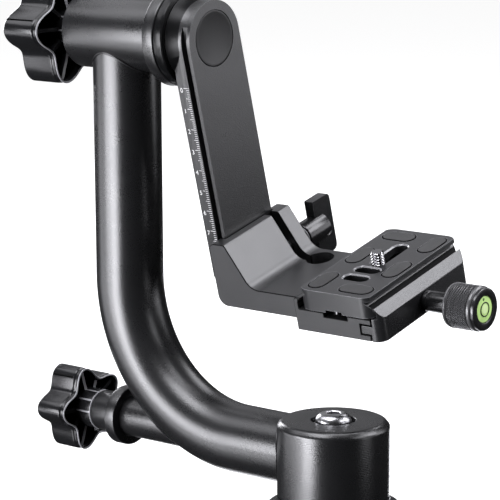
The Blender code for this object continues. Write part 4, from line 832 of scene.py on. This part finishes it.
def knurled_knob():
    """The grip as rings of points, and its groove faces in the second material, which is painted shade."""
    sides, knurl_start, knurl_end = DIAMONDS * 4, KNOB_START + 1.9, KNOB_END - 2.5
    profile = [(KNOB_START + x, r, 0) for x, r in ((0, 3.7), (0, 9.6), (0.15, 9.95), (0.5, KNOB_R), (1.2, KNOB_R),
                                                   (1.3, 9.7), (1.6, 9.7), (1.7, KNOB_R))]
    profile += [(knurl_start + (knurl_end - knurl_start) * k / KNURL_ROWS, KNOB_R, KNURL_DEPTH)
                for k in range(KNURL_ROWS + 1)]
    profile += [(KNOB_END - x, r, 0) for x, r in ((2.3, KNOB_R), (2.2, 9.5), (1.95, 9.5), (1.85, 10.05), (1.6, KNOB_R),
                                                  (1.0, KNOB_R), (0.5, 9.95), (0.15, 9.6), (0, 9.2), (0, LEVEL_R),
                                                  (3.5, LEVEL_R), (3.5, 3.7))]
    made = []
    for x, r, depth in profile:
        row = []
        for k in range(sides):
            a, lead = 2 * pi * k / sides, (x - KNOB_START) / KNOB_R
            wave = max(abs(sin((a + lead) * DIAMONDS / 2)), abs(sin((a - lead) * DIAMONDS / 2)))
            here = r - depth * (1 - min(1, 1.6 * (1 - wave)))
            row.append((x, here * cos(a), here * sin(a)))
        made.append(row)
    grip = skin(made, closed=True)
    # Groove faces get painted shade.
    for facet in grip.faces:
        middle = facet.calc_center_median()
        if knurl_start < middle.x < knurl_end and 9 < middle.yz.length < KNOB_R - 0.47:
            facet.material_index = 1
    return grip


knurl_coat = finish("knurled black", (0.05, 0.05, 0.0512), 0.2, grains=3000, depth=0.00001, wear=1.0,
                    edge=(0.09, 0.09, 0.094), edge_width=0.0002)
piece("knurled_grip", knurled_knob(), knurl_coat, "knob_and_level", "clamp_knob", CLAMP, smooth=45,
      others=[painted_shade_black])

# %% [markdown]
# ## The spirit level
# A round vial of lime green liquid in a black cup, with a ring line and two bubbles. The big one is a thin
# lighter dome under the ring, and the small one is a darker speck above it. The liquid's face is very
# slightly domed so that it catches the light.

# %% Spirit level
VIAL_R, VIAL_FACE, BUBBLE_R = 5.8, 59.6, 2.2
cup = rounded([(55.3, 0), (55.3, 8, 0.3), (58.8, 8), (58.8, 9.5), (60.1, 9.5, 0.4), (60.1, 6.1, 0.3),
               (56.2, 6.1), (56.2, 0)], 4)
vial = [(56.5, 0), (56.5, VIAL_R)] + [(VIAL_FACE + 0.3 * (1 - (r / VIAL_R) ** 2), r)
                                      for r in (VIAL_R, 5.0, 4.0, 3.0, 2.0, 1.0)] + [(59.9, 0)]
bubble = [(59.7, 0), (59.7, BUBBLE_R)] + [(59.88 + 0.12 * sqrt(max(0, 1 - (r / BUBBLE_R) ** 2)), r)
                                          for r in (2.15, 1.7, 1.1, 0.5)] + [(60.0, 0)]
small_bubble = [(59.4, 0), (59.4, 0.75), (59.7, 0.75), (59.78, 0.5), (59.8, 0)]
gloss_black = finish("glossy black cap", (0.008, 0.008, 0.0084), 0.2, depth=0.00001, wear=0.4,
                     edge=(0.06, 0.06, 0.063))
level_green = finish("lime green level", (0.53, 0.78, 0.27), 0.12, grains=900, depth=0.000002, speckle=0.08, wear=0.0)
bubble_green = finish("bubble", (0.68, 0.86, 0.42), 0.08, grains=900, depth=0.000002, speckle=0.06, wear=0.0,
                      marks_by=0.02)
speck_green = finish("small bubble", (0.1, 0.2, 0.06), 0.1, grains=900, depth=0.000002, speckle=0.2, wear=0.0,
                     marks_by=0.02)
for name, made, material, stands_for, kind in (
        ("level_cup", turned(cup, 96), gloss_black, "level_bezel", "black_plastic"),
        ("level_liquid", turned(vial, 64), level_green, "level_vial", "level_liquid"),
        ("level_bubble", turned(bubble, 48, centre=(0, 0, 0.2)), bubble_green, (), "level_liquid"),
        ("level_ring", tube(59.78, 60.02, 3.35, 2.85, 0.05, 64), gloss_black, (), "black_plastic"),
        ("level_small_bubble", turned(small_bubble, 24, centre=(0, 0.3, 4.5)), speck_green, (), "level_liquid")):
    piece(name, made, material, "knob_and_level", stands_for, CLAMP)

# %% [markdown]
# ## The quick-release plate
# The plate screws to the lens foot. Seen from its end it is a dovetail with a thin top flange. The slots let
# the camera screw move, and six rubber pads keep the lens from twisting. Corners, slots, pad beds and the
# screw's pocket are all cut from the drawn-out section. The cut edges and the slots' chamfers show bare
# metal, lightened also as a painted highlight, and the pad beds and the lower slope are painted near black as shade.

# %% Quick-release plate
P_BOTTOM, P_TOP, PLATE_HALF, CORNER_R = -111.2, -101.4, 34.8, 7
LEDGE, BED_DEPTH, STOP_OUT, BELOW, ABOVE = P_TOP - 3.6, 1.2, 31, P_BOTTOM - 4, P_TOP + 4
half_view = [(20.9, P_BOTTOM), (20.9, LIP_Z - 1.8), (17.7, LIP_Z + 1.4), (16.4, LIP_Z + 2.7), (16.4, P_TOP - 2.5),
             (18.9, P_TOP - 2.0), (18.9, P_TOP)]
plate_view = [(PLATE_X + a, b) for a, b in half_view] + [(PLATE_X - a, b) for a, b in reversed(half_view)]
tips = bmesh.new()
for side in (-1, 1):
    for end in (-1, 1):
        x, v = PLATE_X + side * 13.9, end * 27.8
        quarter = [pi / 2 * k / 12 for k in range(13)]
        arc = [(x + side * CORNER_R * cos(a), v + end * CORNER_R * sin(a)) for a in quarter]
        away = (x + side * 11, v + end * 11)
        drawn(arc + [(arc[-1][0], away[1]), away, (away[0], arc[0][1])], BELOW, ABOVE, "Z", tips)
plate_slots = [(8.65, 16.7, 3.6, False), (-17.0, 7.2, 2.9, True), (-8.2, 7.2, 2.9, True)]
slots, chamfers = bmesh.new(), bmesh.new()
for v, run, half, across_plate in plate_slots:
    drawn(oval(PLATE_X, v, run, half, across_plate), BELOW, ABOVE, "Z", slots)
    skin([[(a, b, P_TOP + h) for a, b in oval(PLATE_X, v, run, half + 0.6 + h, across_plate)] for h in (-0.7, 0.25)],
         chamfers)
screw_room = drawn(oval(PLATE_X, 8.65, 16.7, 7.9), BELOW, LEDGE, "Z")
pad_places = [(PLATE_X + x, v, turned_round) for x, v, turned_round in (
    (-13.2, -23.5, False), (-13.2, 4.2, False), (7.8, -27.4, True),
    (13.2, 23.5, False), (13.2, -4.2, False), (-7.8, 27.4, True))]
beds = bmesh.new()
for x, v, turned_round in pad_places:
    drawn(oval(x, v, 8.6, 4.6, turned_round), P_TOP - BED_DEPTH, ABOVE, "Z", beds)
holes = bmesh.new()
for side in (-1, 1):
    drawn(circle(1.6, 24, STOP_X, side * STOP_OUT), BELOW, P_BOTTOM + 4.3, "Z", holes)
notches = twin_blocks((STOP_X - 4.6, STOP_X + 4.6), (27.8, 38.8), (BELOW, P_BOTTOM + 1.2))
milled_plate = carve(drawn(plate_view, -PLATE_HALF, PLATE_HALF), tips, notches, slots, screw_room, beds, holes,
                     chamfers)
# Chamfers get bare metal with a painted highlight; bed floors, bed walls and the lower slope get painted shade.
for facet in milled_plate.faces:
    middle, flat = facet.calc_center_median(), abs(facet.normal.z)
    bed_floor = flat > 0.9 and abs(middle.z - (P_TOP - BED_DEPTH)) < 0.1
    bed_wall = flat < 0.1 and abs(middle.z - (P_TOP - BED_DEPTH / 2)) < 0.1
    lower_slope = abs(facet.normal.x) > 0.6 and 0.6 < facet.normal.z < 0.8 and middle.z < LIP_Z + 1.4
    if 0.5 < flat < 0.9 and middle.z > P_TOP - 0.8:
        facet.material_index = 1
    elif bed_floor or bed_wall or lower_slope:
        facet.material_index = 2
plate_grey = finish("plate anodised", (0.011, 0.0112, 0.0118), 0.25, wear=1.3, edge=(0.2, 0.2, 0.21),
                    edge_width=0.0003)
bare_edge_and_highlight = finish("bare edge and painted highlight", (0.13, 0.13, 0.135), 0.2, depth=0.00001, wear=0.0)
piece("dovetail_plate", milled_plate, plate_grey, "plate", "qr_plate", SWING, bevel=0.3,
      others=[bare_edge_and_highlight, painted_shade_black], edge_slot=1)

# %% [markdown]
# ## Rubber pads
# Each pad is pressed into its bed and stands a third of a millimetre proud. Rings of one slot outline, each
# a little narrower, give it a rounded shoulder and a slightly hollow top, and the finish gives the grain.
# The shoulder is painted near black, a painted shadow that gives each pad a dark outline.

# %% Rubber pads
rubber = finish("pad rubber", (0.008, 0.008, 0.0083), 0.55, grains=1900, depth=0.00008, speckle=0.3, wear=0.1,
                marks_by=0.08)
for number, (x, v, turned_round) in enumerate(pad_places, 1):
    rings = ((4.05, -0.9), (4.05, 0.1), (3.9, 0.3), (3.6, 0.31), (3.4, 0.27))
    pad = skin([[(a, b, P_TOP + proud) for a, b in oval(x, v, 8.6, half, turned_round)] for half, proud in rings])
    # The shoulder takes painted shade.
    for facet in pad.faces:
        if facet.calc_center_median().z < P_TOP + 0.25:
            facet.material_index = 1
    piece(f"rubber_pad_{number}", pad, rubber, "plate", f"pad_{number}", SWING, smooth=40,
          others=[painted_shade_black])

# %% [markdown]
# ## Screws in the plate
# The camera screw has a real thread here: a spiral whose radius rises and falls once a turn of pitch, and a
# slot across its head. Two small stop screws hang from the plate's ends.

# %% Camera screw and stop screws
CAMERA = SWING @ Matrix.Translation((PLATE_X, 0.3, 0))
PITCH, SCREW_R, TIP = 1.27, 3.15, 0.7


def threaded(low, high, depth, sides=48, steps=8):
    """Rings of a threaded rod from low to high along Z, with a chamfered tip."""
    rows, count = [], int((high - low) / PITCH * steps)
    for n in range(count + 1):
        z = low + (high - low) * n / count
        row = []
        for k in range(sides):
            a = 2 * pi * k / sides
            phase = (z / PITCH - k / sides) % 1
            r = SCREW_R - depth * (1 - abs(2 * phase - 1))
            r = min(r, SCREW_R - TIP + (high - z)) if high - z < TIP else r
            row.append((r * cos(a), r * sin(a), z))
        rows.append(row)
    return rows


seat_z = LEDGE - CLEARANCE - 0.9 - CLEARANCE
screw_head = [[(x, y, seat_z - h) for x, y in circle(r, 48)]
              for r, h in ((6.7, 2.8), (7.0, 2.5), (7.0, 0.2), (6.8, 0), (2.6, 0))]
screw = carve(skin(screw_head + threaded(seat_z + 0.1, P_TOP + 5.4, 0.75)),
              block((-11, -0.7, seat_z - 7), (11, 0.7, seat_z - 1.5)))
screw_steel = finish("blackened steel", (0.16, 0.16, 0.164), 0.09, metal=1.0, grains=3000, depth=0.000004,
                     speckle=0.06, wear=0.3, edge=(0.6, 0.6, 0.62), edge_width=0.0002)
piece("quarter_inch_screw", screw, screw_steel, "screw_turn", "camera_screw", CAMERA, smooth=40)
STOP_R, STOP_STEM, STOP_HEAD = 2.3, 1.3, P_BOTTOM + 1.2 - CLEARANCE
stop = rounded([(STOP_HEAD - 2.6, 0), (STOP_HEAD - 2.6, STOP_R, 0.5), (STOP_HEAD, STOP_R, 0.2),
                (STOP_HEAD, STOP_STEM), (P_BOTTOM + 4, STOP_STEM, 0.2), (P_BOTTOM + 4, 0)], 4)
for end, v in (("near", -STOP_OUT), ("far", STOP_OUT)):
    key = drawn([(STOP_X + 1.2 * a, v + 1.2 * b) for a, b in hexagon], STOP_HEAD - 6, STOP_HEAD - 1.4, "Z")
    piece(f"screw_stop_{end}", carve(turned(stop, 48, "Z", (STOP_X, v, 0)), key), screw_steel, "plate",
          f"plate_stop_{end}", SWING)

# %% [markdown]
# ## Pieces that stay as the CAD has them
# Bearings, nuts, pins, rods and washers hide inside. Their plain shapes are right, so they keep their
# meshes and only get a proper finish.

# %% Finishes for the inner pieces
plain_steel = finish("turned steel", (0.4, 0.4, 0.41), 0.28, metal=1.0, grains=3000, depth=0.000008, speckle=0.1,
                     wear=0.3, edge=(0.65, 0.65, 0.66), marks_by=0.08)
bearing_white = finish("bearing polymer", (0.6, 0.59, 0.55), 0.45, grains=1500, depth=0.00001, speckle=0.05,
                       wear=0.1, edge=(0.72, 0.71, 0.68), marks_by=0.08)
for material, names in ((plain_steel, ("pan_washer", "pan_lock_rod", "hub_screw", "friction_washer", "lock_screw",
                                       "jaw_pin_near", "jaw_pin_far", "screw_retainer")),
                        (brass, ("pan_lock_nut", "pan_brake_pad", "tilt_lock_nut")),
                        (bearing_white, ("tilt_bearing_inner", "tilt_bearing_outer"))):
    for name in names:
        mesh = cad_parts[name].data
        mesh.materials.clear()
        mesh.materials.append(material)
    print(f"{material.name}: {', '.join(names)}")

# %% [markdown]
# ## The floor
# The floor is pale and plain. It only shows to the camera: it throws no light on the head and takes no
# shadow, because the photo shows none.

# %% Pale floor
plane = bmesh.new()
bmesh.ops.create_grid(plane, x_segments=8, y_segments=8, size=4.0)
floor = thing("floor", plane)
floor.location.z = -0.0004
pale = bpy.data.materials.new("pale floor")
pale.use_nodes = True
plug(pale.node_tree, pale.node_tree.nodes["Principled BSDF"], {
    "Base Color": (0.3, 0.3, 0.3, 1), "Roughness": 1.0, "Emission Color": (1, 1, 1, 1), "Emission Strength": 0.93})
floor.data.materials.append(pale)
floor.visible_diffuse = floor.visible_glossy = floor.visible_shadow = False
print("floor", [round(side, 2) for side in floor.dimensions], "m")

# %% [markdown]
# ## Light
# Black metal shows what it reflects. In a white room it would look grey all over, so the head stands in a
# dark studio with soft lights all round, and only the camera sees the pale floor and the white behind it.
# The two key lights at the front and left give the long highlight on the J. The glows low down stand for a
# bright floor, the overhead ones light the top rims, and those behind on the right light the slopes of the
# bracket and the jaw. The rear ones keep the back readable. Most were set by rendering the head under each
# one alone and adding up the results until their sum came near the photo, and then trimmed.

# %% Soft lights
MIDDLE = Vector((-0.04, 0, 0.12))


def softbox(name, toward, radiance, width=0.5, height=0.5, far=1.2):
    """An area light that stands in one direction from the head, by how bright its face is."""
    light = bpy.data.lights.new(name, "AREA")
    light.shape, light.size, light.size_y, light.energy = "RECTANGLE", width, height, pi * width * height * radiance
    light.color = (0.98, 0.98, 1.03)
    made = bpy.data.objects.new(name, light)
    away = Vector(toward).normalized()
    made.location = MIDDLE + away * far
    made.rotation_euler = away.to_track_quat("Z", "Y").to_euler()
    made.visible_camera = False
    bpy.context.scene.collection.objects.link(made)


# name, direction, radiance, width, height, distance
LIGHTS = (
    ("key_front", (-0.2, -0.95, -0.2), 24.75),
    ("key_left", (-0.53, -0.85, -0.02), 15),
    ("floor_glow_left", (-0.35, -0.76, -0.54), 4.7, 0.6),
    ("floor_glow_side", (-0.66, -0.69, -0.28), 2.8),
    ("overhead", (0.15, 0.05, 0.98), 6, 0.7, 0.7),
    ("overhead_front", (-0.1, -0.45, 0.88), 12.6, 0.8),
    ("overhead_back", (0.24, 0.5, 0.83), 9, 0.5, 0.4),
    ("back_right_high", (0.62, 0.52, 0.59), 11.04),
    ("right_high", (0.85, 0.15, 0.5), 4.2),
    ("back_right_low", (0.64, 0.75, 0.15), 3, 0.3, 0.24, 0.55),
    ("right_low", (0.96, 0.26, -0.05), 2.25, 0.4, 0.6),
    ("left_back", (-0.92, 0.3, 0.2), 12),
    ("left_high", (-0.63, -0.32, 0.7), 3.3),
    ("left_top", (-0.64, 0.12, 0.76), 2, 0.5, 0.4),
    ("left_low", (-0.89, -0.42, -0.15), 3),
    ("back_left_high", (-0.6, 0.6, 0.53), 0.7),
    ("back_left", (-0.64, 0.75, 0.18), 0.35, 0.4, 0.3),
    ("under", (-0.43, 0.55, -0.72), 3),
    ("rear_low", (-0.45, 0.8, -0.4), 6, 0.6, 0.4),
    ("rear_high", (-0.1, 0.72, 0.69), 5))
for light in LIGHTS:
    softbox(*light)
print(len(bpy.data.lights), "soft lights")

# %% [markdown]
# ## The room
# The head is lit by a nearly black room, and the camera sees a white one. A Light Path node tells the two
# apart. The plain view transform keeps the pale tones pale.

# %% Room
world = bpy.data.worlds.new("studio")
world.use_nodes = True
room = world.node_tree
unseen = node(room, "Background", {"Color": (1, 1, 1, 1), "Strength": 0.02})
seen = node(room, "Background", {"Color": (1, 1, 1, 1), "Strength": 1.0})
choose = node(room, "MixShader", {"Fac": node(room, "LightPath").outputs["Is Camera Ray"], 1: unseen.outputs[0],
                                  2: seen.outputs[0]})
plug(room, room.nodes["World Output"], {"Surface": choose.outputs[0]})
bpy.context.scene.world = world
bpy.context.scene.view_settings.view_transform = "Standard"
print("room:", world.name)
